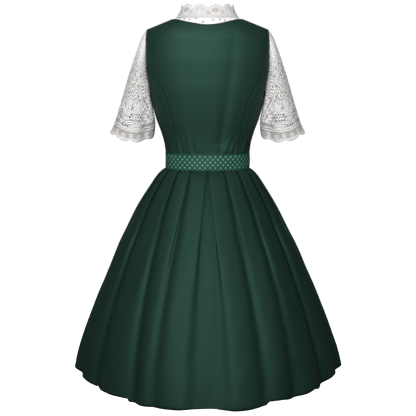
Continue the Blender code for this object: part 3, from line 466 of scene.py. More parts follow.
# ---- materials
class Finish:
    """A node material, built node by node over the cloth's pattern."""

    def __init__(self, name):
        self.material = bpy.data.materials.new(name)
        self.material.use_nodes = True
        self.tree = self.material.node_tree
        self.tree.nodes.clear()
        self.uv = self.add("ShaderNodeUVMap", {"uv_map": "cloth"}).outputs[0]

    def add(self, kind, settings=None, **inputs):
        """A node with its settings; an input is named, or i and its number, and None is left out."""
        node = self.tree.nodes.new(kind)
        for key, value in (settings or {}).items():
            setattr(node, key, value)
        for key, value in inputs.items():
            numbered = key[0] == "i" and key[1:].isdigit()
            socket = node.inputs[int(key[1:]) if numbered else key.replace("_", " ")]
            if isinstance(value, bpy.types.NodeSocket):
                self.tree.links.new(value, socket)
            elif value is not None:
                socket.default_value = value
        return node

    def maths(self, operation, first, second=0.0, third=0.0):
        return self.add("ShaderNodeMath", {"operation": operation},
                        i0=first, i1=second, i2=third).outputs[0]

    def times(self, first, second):
        return self.maths("MULTIPLY", first, second)

    def fade(self, value, low, high):
        """1 below low, falling to 0 at high."""
        return self.add("ShaderNodeMapRange", i0=value, i1=low, i2=high, i3=1.0, i4=0.0).outputs[0]

    def noise(self, across, up, detail=2.0, rough=0.5):
        """Noise whose grains are this many to a metre across the cloth and up it."""
        vector = self.add("ShaderNodeMapping", i0=self.uv, i3=(across, up, 1.0)).outputs[0]
        return self.add("ShaderNodeTexNoise", Vector=vector, Scale=1.0, Detail=detail,
                        Roughness=rough).outputs[0]

    def mix(self, share, first, second):
        return self.add("ShaderNodeMix", {"data_type": "RGBA"}, i0=share, i6=first, i7=second).outputs[2]

    def mark(self, name):
        return self.add("ShaderNodeAttribute", {"attribute_name": name}).outputs[2]

    def bump(self, height, strength, distance, normal=None):
        return self.add("ShaderNodeBump", Height=height, Strength=strength, Distance=distance,
                        Normal=normal).outputs[0]

    def cloth(self, colour, roughness, gloss, normal, **more):
        return self.add("ShaderNodeBsdfPrincipled", Base_Color=colour, Roughness=roughness,
                        Specular_IOR_Level=gloss, Normal=normal, **more).outputs[0]

    def close(self, shader):
        self.tree.links.new(shader, self.add("ShaderNodeOutputMaterial").inputs[0])
        return self.material


STITCH_PITCH, STITCH_SHARE, STITCH_HALF = 0.0032, 0.72, 0.00045
# colour and strength of the painted shade that the mark "seam" lays on the satin
PAINTED_SHADE_COLOUR, PAINTED_SHADE_SHARE = (0.002, 0.008, 0.006, 1), 0.72
SATIN_SHINE = (0.36, 1.0, 0.74, 1.0)  # satin's highlights keep the colour of its threads


def satin(name, light, dark, roughness, gloss, stitches=0.0):
    """Woven satin: long warp floats, a soft mottle, at a hem a line of stitches, and painted shade where
    the mark "seam" is set.
    """
    finish = Finish(name)
    warp, weft = finish.noise(2600.0, 60.0), finish.noise(90.0, 1700.0, 1.0)
    mottle = finish.noise(14.0, 7.0, 3.0, 0.6)
    colour = finish.mix(finish.maths("MULTIPLY_ADD", warp, 0.35, finish.times(mottle, 0.65)), dark, light)
    normal = finish.bump(finish.maths("MULTIPLY_ADD", weft, 0.5, warp), 0.25, 0.00018)
    if stitches:
        parts = finish.add("ShaderNodeSeparateXYZ", Vector=finish.uv)
        off = finish.maths("ABSOLUTE", finish.maths("SUBTRACT", parts.outputs[1], stitches))
        run = finish.maths("FRACT", finish.times(parts.outputs[0], 1 / STITCH_PITCH))
        thread = finish.times(finish.maths("LESS_THAN", off, STITCH_HALF),
                              finish.maths("LESS_THAN", run, STITCH_SHARE))
        colour = finish.mix(finish.times(thread, 0.6), colour, light)
        normal = finish.bump(thread, 0.8, 0.0004, normal)
    # painted shade: where the mark "seam" is set the colour goes towards a dark green, along the bodice's
    # seams and edges and in the skirt's fold recesses
    colour = finish.mix(finish.times(finish.mark("seam"), PAINTED_SHADE_SHARE), colour, PAINTED_SHADE_COLOUR)
    return finish.close(finish.cloth(colour, roughness, gloss, normal, Specular_Tint=SATIN_SHINE))


RIBBON_PITCH, RIBBON_ROW, RIBBON_EDGE = 0.0156, 0.0079, (0.0012, 0.0022)
RIBBON_GROUND = ((0.002, 0.036, 0.017, 1), (0.004, 0.059, 0.029, 1))
RIBBON_FIGURE = ((0.064, 0.142, 0.12, 1), (0.108, 0.216, 0.188, 1))


def jacquard(name):
    """Ribbon with a lattice of green lines round small pale diamonds, and a plain edge."""
    finish = Finish(name)
    parts = finish.add("ShaderNodeSeparateXYZ", Vector=finish.uv)
    across, up = parts.outputs[0], parts.outputs[1]

    def from_middle(value, pitch, start):
        moved = finish.maths("MULTIPLY_ADD", value, 1 / pitch, start)
        return finish.maths("ABSOLUTE", finish.maths("SUBTRACT", finish.maths("FRACT", moved), 0.5))

    nearest = finish.maths("MINIMUM", *[
        finish.maths("ADD", from_middle(across, RIBBON_PITCH, start),
                     from_middle(up, RIBBON_ROW * 2, start))
        for start in (0.0, 0.5)])
    woven = finish.times(finish.maths("GREATER_THAN", up, RIBBON_EDGE[0]),
                         finish.maths("LESS_THAN", up, RIBBON_TOP - RIBBON_BOTTOM - RIBBON_EDGE[1]))
    heart = finish.times(finish.fade(nearest, 0.05, 0.11), 0.25)
    pale = finish.times(finish.times(finish.fade(nearest, 0.23, 0.32), woven),
                        finish.maths("SUBTRACT", 1.0, heart))
    threads = finish.noise(1500.0, 500.0)
    colour = finish.mix(pale, finish.mix(threads, *RIBBON_GROUND), finish.mix(threads, *RIBBON_FIGURE))
    rib = finish.noise(120.0, 1900.0, 1.0)
    normal = finish.bump(finish.maths("MULTIPLY_ADD", pale, 0.6, finish.times(rib, 0.3)), 0.6, 0.0004)
    return finish.close(finish.cloth(colour, 0.5, 0.12, normal))


# low is the colour where the lace is open: dark, as painted shade of what lies behind, on top of the
# net's real see-through
def lace(name, sheer, low=(0.11, 0.097, 0.086, 1), middle=(0.66, 0.648, 0.638, 1),
         high=(0.84, 0.835, 0.828, 1)):
    """White lace: raised threads from the piece's marks, greyer between them, with a net
    ground that is see-through where the mark "dense" is low, and painted dark there as shade."""
    finish = Finish(name)
    dense, cord = finish.mark("dense"), finish.mark("cord")
    twist = finish.noise(900.0, 900.0, 3.0, 0.7)
    cells = finish.add("ShaderNodeTexVoronoi", {"feature": "DISTANCE_TO_EDGE"}, Vector=finish.uv,
                       Scale=620.0).outputs[0]
    net = finish.fade(cells, 0.1, 0.22)
    colour = finish.mix(cord, finish.mix(dense, low, middle), high)
    normal = finish.bump(finish.maths("MULTIPLY_ADD", twist, 0.6, finish.times(net, 0.3)), 0.5, 0.0004)
    thread = finish.cloth(colour, 0.85, 0.25, normal, Sheen_Weight=0.15)
    glow = finish.add("ShaderNodeBsdfTranslucent", Color=colour, Normal=normal).outputs[0]
    thread = finish.add("ShaderNodeMixShader", i0=0.10, i1=thread, i2=glow).outputs[0]
    ground = finish.maths("MULTIPLY_ADD", net, 1.0 - sheer, sheer)
    alpha = finish.add("ShaderNodeMix", {"data_type": "FLOAT"}, i0=finish.maths("MAXIMUM", dense, cord),
                       i2=ground, i3=1.0).outputs[0]
    clear = finish.add("ShaderNodeBsdfTransparent").outputs[0]
    return finish.close(finish.add("ShaderNodeMixShader", i0=alpha, i1=clear, i2=thread).outputs[0])


# the bodice's and the skirt's satin are one cloth; the skirt's copy is painted a little darker to suit
# how the skirt is lit, and shines less
SATIN = satin("satin_green", (0.0098, 0.0262, 0.0198, 1), (0.0059, 0.0170, 0.0126, 1), 0.57, 0.30)
SHADED_SKIRT_SATIN = satin("satin_green_skirt", (0.0098, 0.0252, 0.0190, 1), (0.0058, 0.0165, 0.0124, 1),
                    0.56, 0.2, HEM_WIDTH - 0.001)
APRON_SATIN = satin("apron_green", (0.030, 0.095, 0.064, 1), (0.018, 0.062, 0.041, 1), 0.50, 0.20)
RIBBON = jacquard("ribbon_green")
SLEEVE_LACE = lace("lace_white", 0.55)
NET_LACE = lace("lace_white_net", 0.40, (0.30, 0.28, 0.26, 1), (0.56, 0.55, 0.54, 1))
COLLAR_LACE = lace("lace_white_collar", 0.66, (0.34, 0.32, 0.31, 1), (0.49, 0.482, 0.478, 1),
                   (0.67, 0.665, 0.66, 1))
# the yoke's lace is a lighter copy of the sleeves' lace, lightened to make up for how dimly it is lit:
# painted light
YOKE_LACE = lace("lace_white_yoke", 1.0, (0.26, 0.22, 0.19, 1), (0.80, 0.79, 0.78, 1))


def declare(piece, node, slot, flat, held, area=None):
    """The piece rides on the part and stands for its node. The cloth's size given to it is not used."""
    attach(piece, "root")
    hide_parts(node)


# ---- bodice
# soft folds of the back: pattern points of the fold's line, width, how far it stands out
BACK_FOLDS = (
    (((0.052, 0.0), (0.048, -0.14), (0.043, -0.3)), 0.018, -0.0012),
    (((-0.038, -0.37), (-0.048, -0.22), (-0.058, -0.03)), 0.013, -0.0036),
    (((-0.068, -0.33), (-0.08, -0.2), (-0.09, -0.04)), 0.02, 0.002),
    (((0.06, -0.405), (0.062, -0.36), (0.066, -0.32)), 0.0055, 0.0024),
    (((0.046, -0.405), (0.047, -0.37), (0.05, -0.335)), 0.005, -0.002),
    (((0.03, -0.405), (0.03, -0.378), (0.031, -0.35)), 0.006, 0.0018),
    (((-0.058, -0.405), (-0.066, -0.375), (-0.08, -0.345)), 0.006, 0.003),
    (((-0.078, -0.405), (-0.088, -0.385), (-0.104, -0.362)), 0.0055, 0.0028),
    (((-0.04, -0.405), (-0.042, -0.37), (-0.044, -0.33)), 0.0055, -0.002),
    (((0.092, -0.405), (0.098, -0.37), (0.1, -0.33)), 0.0065, -0.002),
    (((-0.1, -0.405), (-0.1, -0.38), (-0.098, -0.35)), 0.005, -0.0018),
)
SIDE_FOLDS = (
    (((0.15, -0.405), (0.16, -0.37), (0.176, -0.335)), 0.007, 0.0022),
    (((0.19, -0.405), (0.196, -0.38), (0.21, -0.35)), 0.007, -0.002),
    (((0.225, -0.405), (0.228, -0.375), (0.236, -0.35)), 0.008, 0.002),
    (((0.19, -0.245), (0.2, -0.262), (0.214, -0.275)), 0.006, 0.0018),
)
FRONT_FOLDS = (
    (((0.3, -0.405), (0.305, -0.365), (0.318, -0.325)), 0.008, 0.002),
    (((0.345, -0.405), (0.35, -0.37), (0.362, -0.33)), 0.007, -0.0022),
    (((0.395, -0.405), (0.398, -0.36), (0.404, -0.32)), 0.008, 0.0022),
    (((0.44, -0.405), (0.44, -0.365), (0.442, -0.33)), 0.007, -0.002),
    (((0.285, -0.215), (0.305, -0.232), (0.33, -0.24)), 0.007, 0.0018),
)


def folded(flat, folds):
    """How far soft folds along lines stand out. A fold fades towards its last point."""
    out = np.zeros(len(flat))
    for line, width, height in folds:
        line = np.array(line)
        way = np.clip((flat[:, 1] - line[0][1]) / (line[-1][1] - line[0][1]), 0, 1)
        strength = np.clip(1.15 - way, 0, 1) ** 0.8
        out += height * strength * bell(distance_to(flat, line, False), width)
    return out


def wall_edges(from_edge):
    """Seams draw in: a valley along the outline of a piece, with a ridge beside it."""
    return -0.0011 * bell(from_edge, 0.0028) + 0.0004 * bell(from_edge - 0.0065, 0.003)


def twice_area(outline):
    """Twice the area inside an outline, negative where it runs clockwise."""
    x, y = np.array(outline).T
    return np.sum(x * np.roll(y, -1) - np.roll(x, -1) * y)


def cut_facts(outline, place, held="stretched"):
    """Flat size and area of a piece as it is cut: its pattern at the size it has in place."""
    low, high = np.min(outline, axis=0), np.max(outline, axis=0)
    points = lattice(low, high, CUT_SAMPLES)
    x, y = points[inside(points, outline)].T
    step, level = 1e-4, np.zeros(len(x))
    runs = [(place(x + a, y + b, level) - place(x - a, y - b, level)) / (2 * step)
            for a, b in ((step, 0.0), (0.0, step))]
    size = [float(span * np.linalg.norm(run, axis=1).mean()) for span, run in zip(high - low, runs)]
    share = np.linalg.norm(np.cross(*runs), axis=1).mean()
    return size, held, float(abs(twice_area(outline)) / 2 * share)


def shrunk(outline):
    """The outline drawn in by half a seam gap."""
    line = np.array(outline)
    before = line - np.roll(line, 1, axis=0)
    after = np.roll(line, -1, axis=0) - line
    left = [joined(-run[:, 1], run[:, 0]) / np.maximum(
        np.linalg.norm(run, axis=1, keepdims=True), 1e-9) for run in (before, after)]
    shift = left[0] + left[1]
    shift /= np.maximum((shift ** 2).sum(axis=1, keepdims=True) / 2, 0.5)
    return [tuple(p) for p in line + np.sign(twice_area(outline)) * SEAM_GAP / 2 * shift]


SEAM_SPREAD = 0.0022  # how far a seam's shade spreads
# the back neckline's gentle waves: place across, width, rise
NECK_WAVES = ((0.0, 0.022, 0.0020), (0.046, 0.022, -0.0024))


def make_panel(name, node, outline, folds, place):
    flat, triangles = flat_cloth(outline, BODICE_MESH)
    loose = folded(flat, folds) * smooth_step(flat[:, 1], RIBBON_TOP - 0.004, RIBBON_TOP + 0.01)
    from_edge = distance_to(flat, divided(outline, 0.01))
    # the mark "seam" paints shade along the panel's outline, where wall_edges draws the cloth in
    piece = lay_wall(name, flat, triangles, place, 0.0, -BODICE_THICKNESS, SATIN,
                     {"seam": bell(from_edge, SEAM_SPREAD)}, loose + wall_edges(from_edge))
    declare(piece, node, "satin_green", *cut_facts(outline, on_body))


def make_bodice():
    neck = [(x, y + sum(rise * bell(x - place, width) for place, width, rise in NECK_WAVES))
            for x, y in neck_oval(DRESS_NECK_SIDE, DRESS_NECK_BACK, np.linspace(0, 90, 24))]
    half = (princess_line() + armhole(PRINCESS_TURN, 0)[1:]
            + shoulder_line(False, DRESS_NECK_SIDE)[-2::-1] + neck[-2::-1])
    half = shrunk(half + [(0.0, WAIST_SEAM)])[:-1]
    back = half + [(-x, y) for x, y in reversed(half) if x > 1e-4]
    side = shrunk(princess_line()[::-1] + [(SIDE, WAIST_SEAM), (SIDE, ARMHOLE[5][2])]
                  + armhole(180, PRINCESS_TURN)[1:-1])
    front = shrunk([(SIDE, WAIST_SEAM), (FRONT_CENTRE, WAIST_SEAM)] + front_neckline()
                   + shoulder_line(True, DRESS_NECK_SIDE)[1:] + armhole(360, 180)[1:])
    make_panel("dress_back", "bodice_back", back, BACK_FOLDS, on_body)
    for word, place in (("left", on_body), ("right", mirrored(on_body))):
        make_panel(f"dress_side_back_{word}", f"bodice_side_back_{word}", side, SIDE_FOLDS, place)
        make_panel(f"dress_front_{word}", f"bodice_front_{word}", front, FRONT_FOLDS, place)


# ---- lace pattern
PITCH = 2000 * math.pi * SLEEVE_RADIUS / LACE_REPEATS  # mm
SPAN = 2 * PITCH  # a flower stands in every other repeat
# the shapes lie over each other in this order: across and up from the pattern's middle,
# angle, length, width (mm)
LOW_LEAVES = (
    (-27, -44, 160, 26, 11), (16, -57, 8, 34, 10), (45, -48, 34, 24, 10),
    (-17, -61, 172, 22, 8), (-38, -58, 20, 20, 9), (38, 14, 62, 26, 11),
    (-36, 4, 75, 24, 11),
)
ROSE = (
    (5, -9, 8, 80, 58), (8, -8, 14, 63, 47), (10.5, -6.5, 22, 47, 36),
    (12, -5.5, 34, 32, 26),
)
CREST = ((-17, 17, 168, 32, 12), (-17, 3, 48, 30, 11), (17, 30, 58, 32, 16),
         (14, -4, 72, 33, 14))
LEAF_FIELD, LEAF_PITCH = ((-34.0, 24.0), (100.0, 190.0)), 17.0
LADDER, LADDER_ROWS = 49.0, range(28, 150, 11)  # short bars beside the leaves
DOT_FIELD, DOT_PITCH = ((57.0, -64.0), (106.0, 14.0)), 11.5  # small dots on open net
# slits too narrow for the solids: across, run up, angle, length, width (mm)
FINE_SLITS = (
    (-27.5, 128, 75, 9, 2.6), (31, 120, 104, 8, 2.4), (0, 150, 92, 8, 2.6),
    (-6, 166, 62, 7.5, 2.4), (11, 163, 118, 7.5, 2.4), (-30, 178, 70, 9, 2.8),
    (30, 170, 108, 8, 2.6), (-18, 186, 60, 8.5, 2.6), (8, 190, 74, 8, 2.6),
    (30, 200, 78, 9, 2.8), (-4, 216, 62, 8, 2.4), (24, 219, 100, 8, 2.6),
    (-27, 224, 84, 8, 2.4), (4, 243, 96, 8, 2.4), (-20, 250, 70, 7, 2.2),
    (22, 243, 60, 7, 2.2),
)
# clusters of small round openings: across, run up, half width, half height (mm)
CLUSTERS = ((32, 74, 27, 12), (-30, 74, 12, 11), (2, 46.5, 13, 4.5),
            (59, 133, 11, 13), (48, 214, 10, 6))
WINDOW_PITCH, WINDOW_RADIUS, WINDOW_TO_SLIT = 9.6, 3.3, 10.5
PLAIN_FROM = 262.0  # about here the lace becomes plain and close (run up, mm)
LEAF_POWER, LEAF_POINTS = 0.8, 7


def leaf_outline(centre, angle, length, width):
    """A leaf-shaped opening, pointed at both ends (metres)."""
    turn = math.radians(angle)
    runs = np.linspace(-1, 1, LEAF_POINTS)
    sides = (1 - runs ** 2) ** LEAF_POWER
    shape = np.concatenate([joined(runs, -sides), joined(runs, sides)[-2:0:-1]])
    shape = shape * np.array([length, width]) / 2
    spin = np.array([[math.cos(turn), math.sin(turn)], [-math.sin(turn), math.cos(turn)]])
    return (shape @ spin + np.array(centre)) / 1000


def lace_holes(outline):
    """Slits and small windows of the lace that lie well inside an outline, in metres."""
    line = np.array(outline)
    slits = np.array([slit[:2] for slit in SLITS + FINE_SLITS + SLITS])
    slits[-len(SLITS):, 0] += PITCH  # the next repeat's
    turns = np.linspace(0, 2 * math.pi, 8, endpoint=False)
    ring = WINDOW_RADIUS * joined(np.cos(turns), np.sin(turns))
    found = []
    for repeat in range(-1, LACE_REPEATS + 1):
        middle = LACE_START * 1000 + repeat * PITCH
        for across, up, angle, length, width in SLITS + FINE_SLITS:
            found.append((leaf_outline((middle + across, up), angle, length, width), SLIT_CLEARANCE))
        for across, up, wide, tall in CLUSTERS if repeat % 2 == 0 else ():
            for centre in lattice((across - wide, up - tall), (across + wide, up + tall), WINDOW_PITCH):
                spread = ((centre[0] - across) / wide) ** 2 + ((centre[1] - up) / tall) ** 2
                if spread < 1 and np.hypot(*(slits - centre).T).min() > WINDOW_TO_SLIT:
                    found.append(((ring + (middle + centre[0], centre[1])) / 1000, WINDOW_CLEARANCE))
    return [hole for hole, clear in found
            if inside(hole, line).all() and distance_to(hole, line).min() > clear]


def shape_distance(x, y, shape, pointed):
    """Distance from the outline of a leaf or petal, negative inside, and from its midrib (mm)."""
    cx, cy, angle, length, width = shape
    turn = math.radians(angle)
    run = ((x - cx) * math.cos(turn) + (y - cy) * math.sin(turn)) / (length / 2)
    off = -(x - cx) * math.sin(turn) + (y - cy) * math.cos(turn)
    if pointed:
        edge = width / 2 * np.clip(1 - run ** 2, 0, 1) ** LEAF_POWER
        beside, beyond = np.maximum(np.abs(off) - edge, 0), np.maximum(np.abs(run) - 1, 0) * length / 2
        return np.hypot(beside, beyond) - np.maximum(edge - np.abs(off), 0), off
    reach, size = np.hypot(run, off / (width / 2)), np.hypot(run * length / 2, off)
    return size - size / np.maximum(reach, 1e-6), off


def lace_shapes():
    """The lace's shapes in the order in which they lie over each other, and their kind."""
    for row in LADDER_ROWS:
        yield (LADDER, row, 6.0, 24.0, 7.0), "bar"
    for number, (x, y) in enumerate(lattice(*DOT_FIELD, DOT_PITCH)):
        size = 6.0 + 2.0 * math.sin(4.1 * number)
        yield (x + 2.2 * math.sin(2.7 * number), y + 1.8 * math.sin(3.9 * number), 40.0 * number,
               size + 2.0, size), "dot"
    for number, (x, y) in enumerate(lattice(*LEAF_FIELD, LEAF_PITCH)):
        if abs(x - LADDER) > 15.0:
            lean = 36.0 * (-1) ** number + 16.0 * math.sin(5.3 * number)
            yield (x + 2.0 * math.sin(3.1 * number), y, 90.0 + lean, 23.0 + 3.0 * math.sin(2.1 * number),
                   11.5), "leaf"
    for shapes, kind in ((LOW_LEAVES, "leaf"), (ROSE, "petal"), (CREST, "leaf")):
        for shape in shapes:
            yield shape, kind


def lace_marks(across, up):
    """Marks "dense" and "cord" and the relief (metres) of the lace at pattern points. Where
    "dense" is low the lace is sheerer and painted with shade.
    """
    x = np.mod(across * 1000 - LACE_START * 1000 + PITCH, SPAN) - PITCH
    y = up * 1000 - FLOWER_UP
    dense, cord = np.full(len(x), 0.8), np.full(len(x), 0.2)
    # over the dot field the lace turns to open net, drawn greyer: partly real open net, partly painted
    # shade
    (left, _), (right, high) = DOT_FIELD
    for shift in (-SPAN, 0):
        field = (smooth_step(x - shift, left - 12, left + 6) * smooth_step(right + 12 - x + shift, 0, 18)
                 * smooth_step(high + 10 - y, 0, 18))
        dense, cord = dense - 0.38 * field, cord - 0.18 * field
    for shape, kind in lace_shapes():
        for shift in (-SPAN, 0, SPAN):
            moved = (shape[0] + shift, *shape[1:])
            near = np.nonzero(np.hypot(x - moved[0], y - moved[1]) < shape[3] / 2 + 4)[0]
            if not len(near):
                continue
            edge, rib = shape_distance(x[near], y[near], moved, kind == "leaf")
            weight = 1 - smooth_step(edge, 1.6, 2.8)
            # the groove beside a shape's edge lowers "dense": a dip in the relief that is also painted
            # with shade
            groove = bell(edge - 0.9, 1.8) * (0.5 if kind == "dot" else 1.15)
            if kind == "leaf":
                groove += bell(rib / shape[4], 0.15) * (edge < -1.8)
            dense[near] += (np.clip(1 - groove, 0, 1) - dense[near]) * weight
            cord[near] += (bell(edge + 1.5, 1.9) - cord[near]) * weight
    rise = y + FLOWER_UP
    dense = dense + (0.9 - dense) * 0.65 * smooth_step(rise, PLAIN_FROM - 40, PLAIN_FROM + 20)
    for level, height in ((TRIM_WIDTH * 1000 + 1.5, 0.0), (41.0, 1.5)):
        wave = height * np.sin(4 * math.pi * x / PITCH)
        line = bell(rise - level - wave, 1.4)
        cord, dense = np.maximum(cord, line), np.maximum(dense, line)
        dense = np.minimum(dense, 1 - 0.8 * bell(rise - level - 3.4 - wave, 1.2))
    return dense, cord, 0.00035 * cord + 0.0005 * (dense - 0.6)


def edge_marks(across, from_edge, repeat, up, arched=False):
    """Marks of a scalloped border: cords along the edge and rings in the scallops. Where it
    is arched, every other scallop has a window of sheer net and the rest a stem and scrolls."""
    x, y, t = (np.mod(across, repeat) - repeat / 2) * 1000, up * 1000, from_edge * 1000  # mm
    cord = np.maximum(bell(t - 3.4, 1.0), 0.9 * bell(t - 7.4, 1.0))
    dense = np.where(t < 8.5, 0.9, 0.42) - 0.7 * bell(t - 5.4, 0.9) - 0.75 * bell(t, 1.7)
    if not arched:
        reach, sides = np.hypot(x, y - 15.0), np.hypot(np.abs(x) - repeat * 500, y - 21.0)
        motif = np.maximum(bell(reach - 6.0, 1.3), bell(reach, 2.0))
        motif = np.maximum(motif, np.maximum(bell(sides - 4.5, 1.1), bell(sides, 1.2)))
        return np.maximum(dense, 0.1), np.maximum(cord, motif)
    window = np.floor(across / repeat).astype(int) % 2 == 0
    arch = np.hypot(x / 14.5, np.maximum(y - 18.5, 0) / 13.0)
    strut = bell(y - 11.5 - 0.42 * np.abs(x), 1.4) * (np.abs(x) < 15)
    rings = np.hypot(np.abs(x) - 8.0, y - 14.5)
    frame_marks = np.maximum(np.maximum(bell((arch - 1) * 12.0 - 0.6, 1.2) * (y > 17.5), strut),
                             bell(rings - 2.6, 1.1) * (y < 17))
    sheer = (arch < 0.95) * (y > 13.0 + 0.42 * np.abs(x))
    eyes = np.hypot(np.abs(x) - 13.5, y - 18.0)
    stem = np.maximum(bell(x, 1.2) * (y < 27),
                      bell(np.abs(x) - 0.7 * (y - 22.0), 1.2) * (y > 21) * (y < 29))
    scroll = np.maximum(np.maximum(bell(eyes - 5.0, 1.4), bell(eyes, 1.4)),
                        np.maximum(stem, bell(np.hypot(x, y - 15.0) - 4.4, 1.2)))
    cord = np.maximum(cord, np.where(window, frame_marks, scroll))
    dense = np.where(window & sheer, 0.22, dense)
    dense = np.where(~window & (np.abs(eyes - 2.6) < 1.6), 0.05, dense)
    return np.maximum(dense, 0.05), cord


# ---- blouse and sleeves
YOKE_SLIT_PITCH, YOKE_SLIT_ROWS = 0.0145, 0.024
YOKE_SHIFT, YOKE_RISE = 0.031, 0.225  # from the body's pattern to the lace's


def make_blouse():
    outer = -BODICE_THICKNESS - LAYER_GAP
    hem = (SIDE, BLOUSE_HEM)
    half = ([(0.0, BLOUSE_HEM), hem, (SIDE, ARMHOLE[5][2])] + armhole(180, 0)[1:]
            + shoulder_line(False, COLLAR_SIDE)[-2::-1]
            + neck_oval(COLLAR_SIDE, COLLAR_BACK, np.linspace(90, 0, 24))[1:])
    back = shrunk(half + [(-x, y) for x, y in reversed(half) if x > 1e-6])
    slit_turn = math.degrees(math.asin(SLIT_HALF / COLLAR_SIDE))
    half = ([hem, (SIDE, ARMHOLE[5][2])] + armhole(180, 360)[1:]
            + shoulder_line(True, COLLAR_SIDE)[-2::-1]
            + neck_oval(COLLAR_SIDE, COLLAR_FRONT, np.linspace(90, slit_turn, 24), True)[1:]
            + [(FRONT_CENTRE, SLIT_END)])
    front = shrunk(half + [(2 * FRONT_CENTRE - x, y) for x, y in reversed(half[:-1])])
    for name, node, outline, folds in (("blouse_back_lace", "blouse_back", back, BACK_FOLDS),
                                       ("blouse_front_lace", "blouse_front", front, FRONT_FOLDS)):
        flat, triangles = flat_cloth(outline, YOKE_MESH, coarse=(COARSE_BELOW, COARSE_MESH))
        other = joined(2 * FRONT_CENTRE - flat[:, 0], flat[:, 1])
        sink = np.minimum(folded(flat, folds), 0) + np.minimum(folded(other, folds), 0)
        sink = np.minimum(sink, -0.0011 * (flat[:, 1] < -0.05))
        dense, cord, relief = lace_marks(flat[:, 0] + YOKE_SHIFT, flat[:, 1] + YOKE_RISE)
        # the yoke's slits are not cut but painted: darker, low-"dense" spots of painted shade where one
        # would see into them
        turn = flat[:, 0] / YOKE_SLIT_PITCH
        stripe = np.floor(turn)
        rise = np.mod(flat[:, 1] / YOKE_SLIT_ROWS + 0.5 * np.sin(2.3 * stripe) + 0.5, 1.0)
        off = np.abs(np.mod(turn, 1.0) - 0.5 + 0.14 * np.sin(5.1 * stripe))
        slit = (off < 0.17) * (rise < 0.42)
        # outside the slits "dense" and "cord" are raised, lightening the yoke: painted light
        dense = np.where(slit, 0.25, 0.72 + 0.28 * dense)
        cord = np.where(slit, 0.0, np.maximum(cord, 0.35))
        piece = lay_wall(name, flat, triangles, on_body, outer, outer - BLOUSE_THICKNESS, YOKE_LACE,
                         {"dense": dense, "cord": cord}, sink + 0.5 * np.minimum(relief, 0))
        declare(piece, node, "cotton_white", *cut_facts(outline, on_body))


BULGE_PROFILE = Profile(SLEEVE_BULGE)
CORD_RELIEF = 0.0004  # how far the borders' cords stand up


def armhole_ring(turn):
    angle, height = ARMHOLE_PROFILE.at(np.degrees(turn))
    return raised(body_point, np.radians(angle), height, np.full(np.shape(turn), SLEEVE_TOP_OUT))


def cuff_ring(turn):
    return np.array(CUFF_CENTRE) + joined(
        CUFF_HALF_WIDTH * np.cos(turn),
        CUFF_HALF_DEPTH * np.sin(turn),
        CUFF_TILT * np.cos(turn) - CUFF_DROP * np.sin(turn) ** 2)


def clear_of_body(points):
    """Points moved out sideways until they clear the dress beside them."""
    across, along, level = points[..., 0], points[..., 1], points[..., 2]
    half, back, front = BODY_PROFILE.at(level)
    half = half + SLEEVE_CLEARANCE
    depth = np.where(along > 0, back, front) + SLEEVE_CLEARANCE
    share = np.clip(np.abs(along) / depth, 0, 0.999)
    wall = half * (1 - share ** SECTION_POWER) ** (1 / SECTION_POWER)
    over = (across - wall) / SLEEVE_SOFTNESS
    pushed = wall + SLEEVE_SOFTNESS * np.where(over > 20, over, np.log1p(np.exp(np.minimum(over, 20))))
    low = np.clip((FREE_BELOW - level) / FREE_OVER, 0, 1)
    return joined(across + (np.maximum(pushed, across) - across) * low, along, level)


def sleeve_point(turn, run):
    """Middle of the sleeve's wall: turn from its outer side to the back, run up from the cuff."""
    turn = np.mod(turn, 2 * math.pi)
    ring, cuff = armhole_ring(turn), cuff_ring(turn)
    way = 1 - run / np.linalg.norm(ring - cuff, axis=-1)
    point = ring + (cuff - ring) * way[..., None]
    stand = BULGE_PROFILE.at(way)[0] * np.clip(np.cos(turn), 0, 1) ** 2
    bow = np.sin(math.pi * np.clip(way, 0, 1))
    stand -= INNER_EASE * bow ** 0.8 * np.clip(-np.cos(turn), 0, 1) ** 1.5
    side = SLEEVE_SIDE_BULGE * np.sin(turn) * bow
    offset = np.degrees(turn) - FOLD_TURN
    fold = bell(offset, FOLD_WIDTH) * np.clip(way * 1.3 - 0.25, 0, 1)
    moved = joined(stand + FOLD_DEPTH * fold * 0.4, side - FOLD_DEPTH * fold, 0 * side)
    return clear_of_body(point + moved)


def sleeve_length(turn):
    turn = np.mod(np.asarray(turn, dtype=float), 2 * math.pi)
    return np.linalg.norm(armhole_ring(turn) - cuff_ring(turn), axis=-1)


def on_sleeve(width, run, out):
    return raised(sleeve_point, width / SLEEVE_RADIUS, run, -out)


def scalloped(width, repeat, depth):
    """How far a scalloped edge draws back at a place along it."""
    return depth * (1 - np.abs(np.sin(math.pi * width / repeat)) ** 0.7)


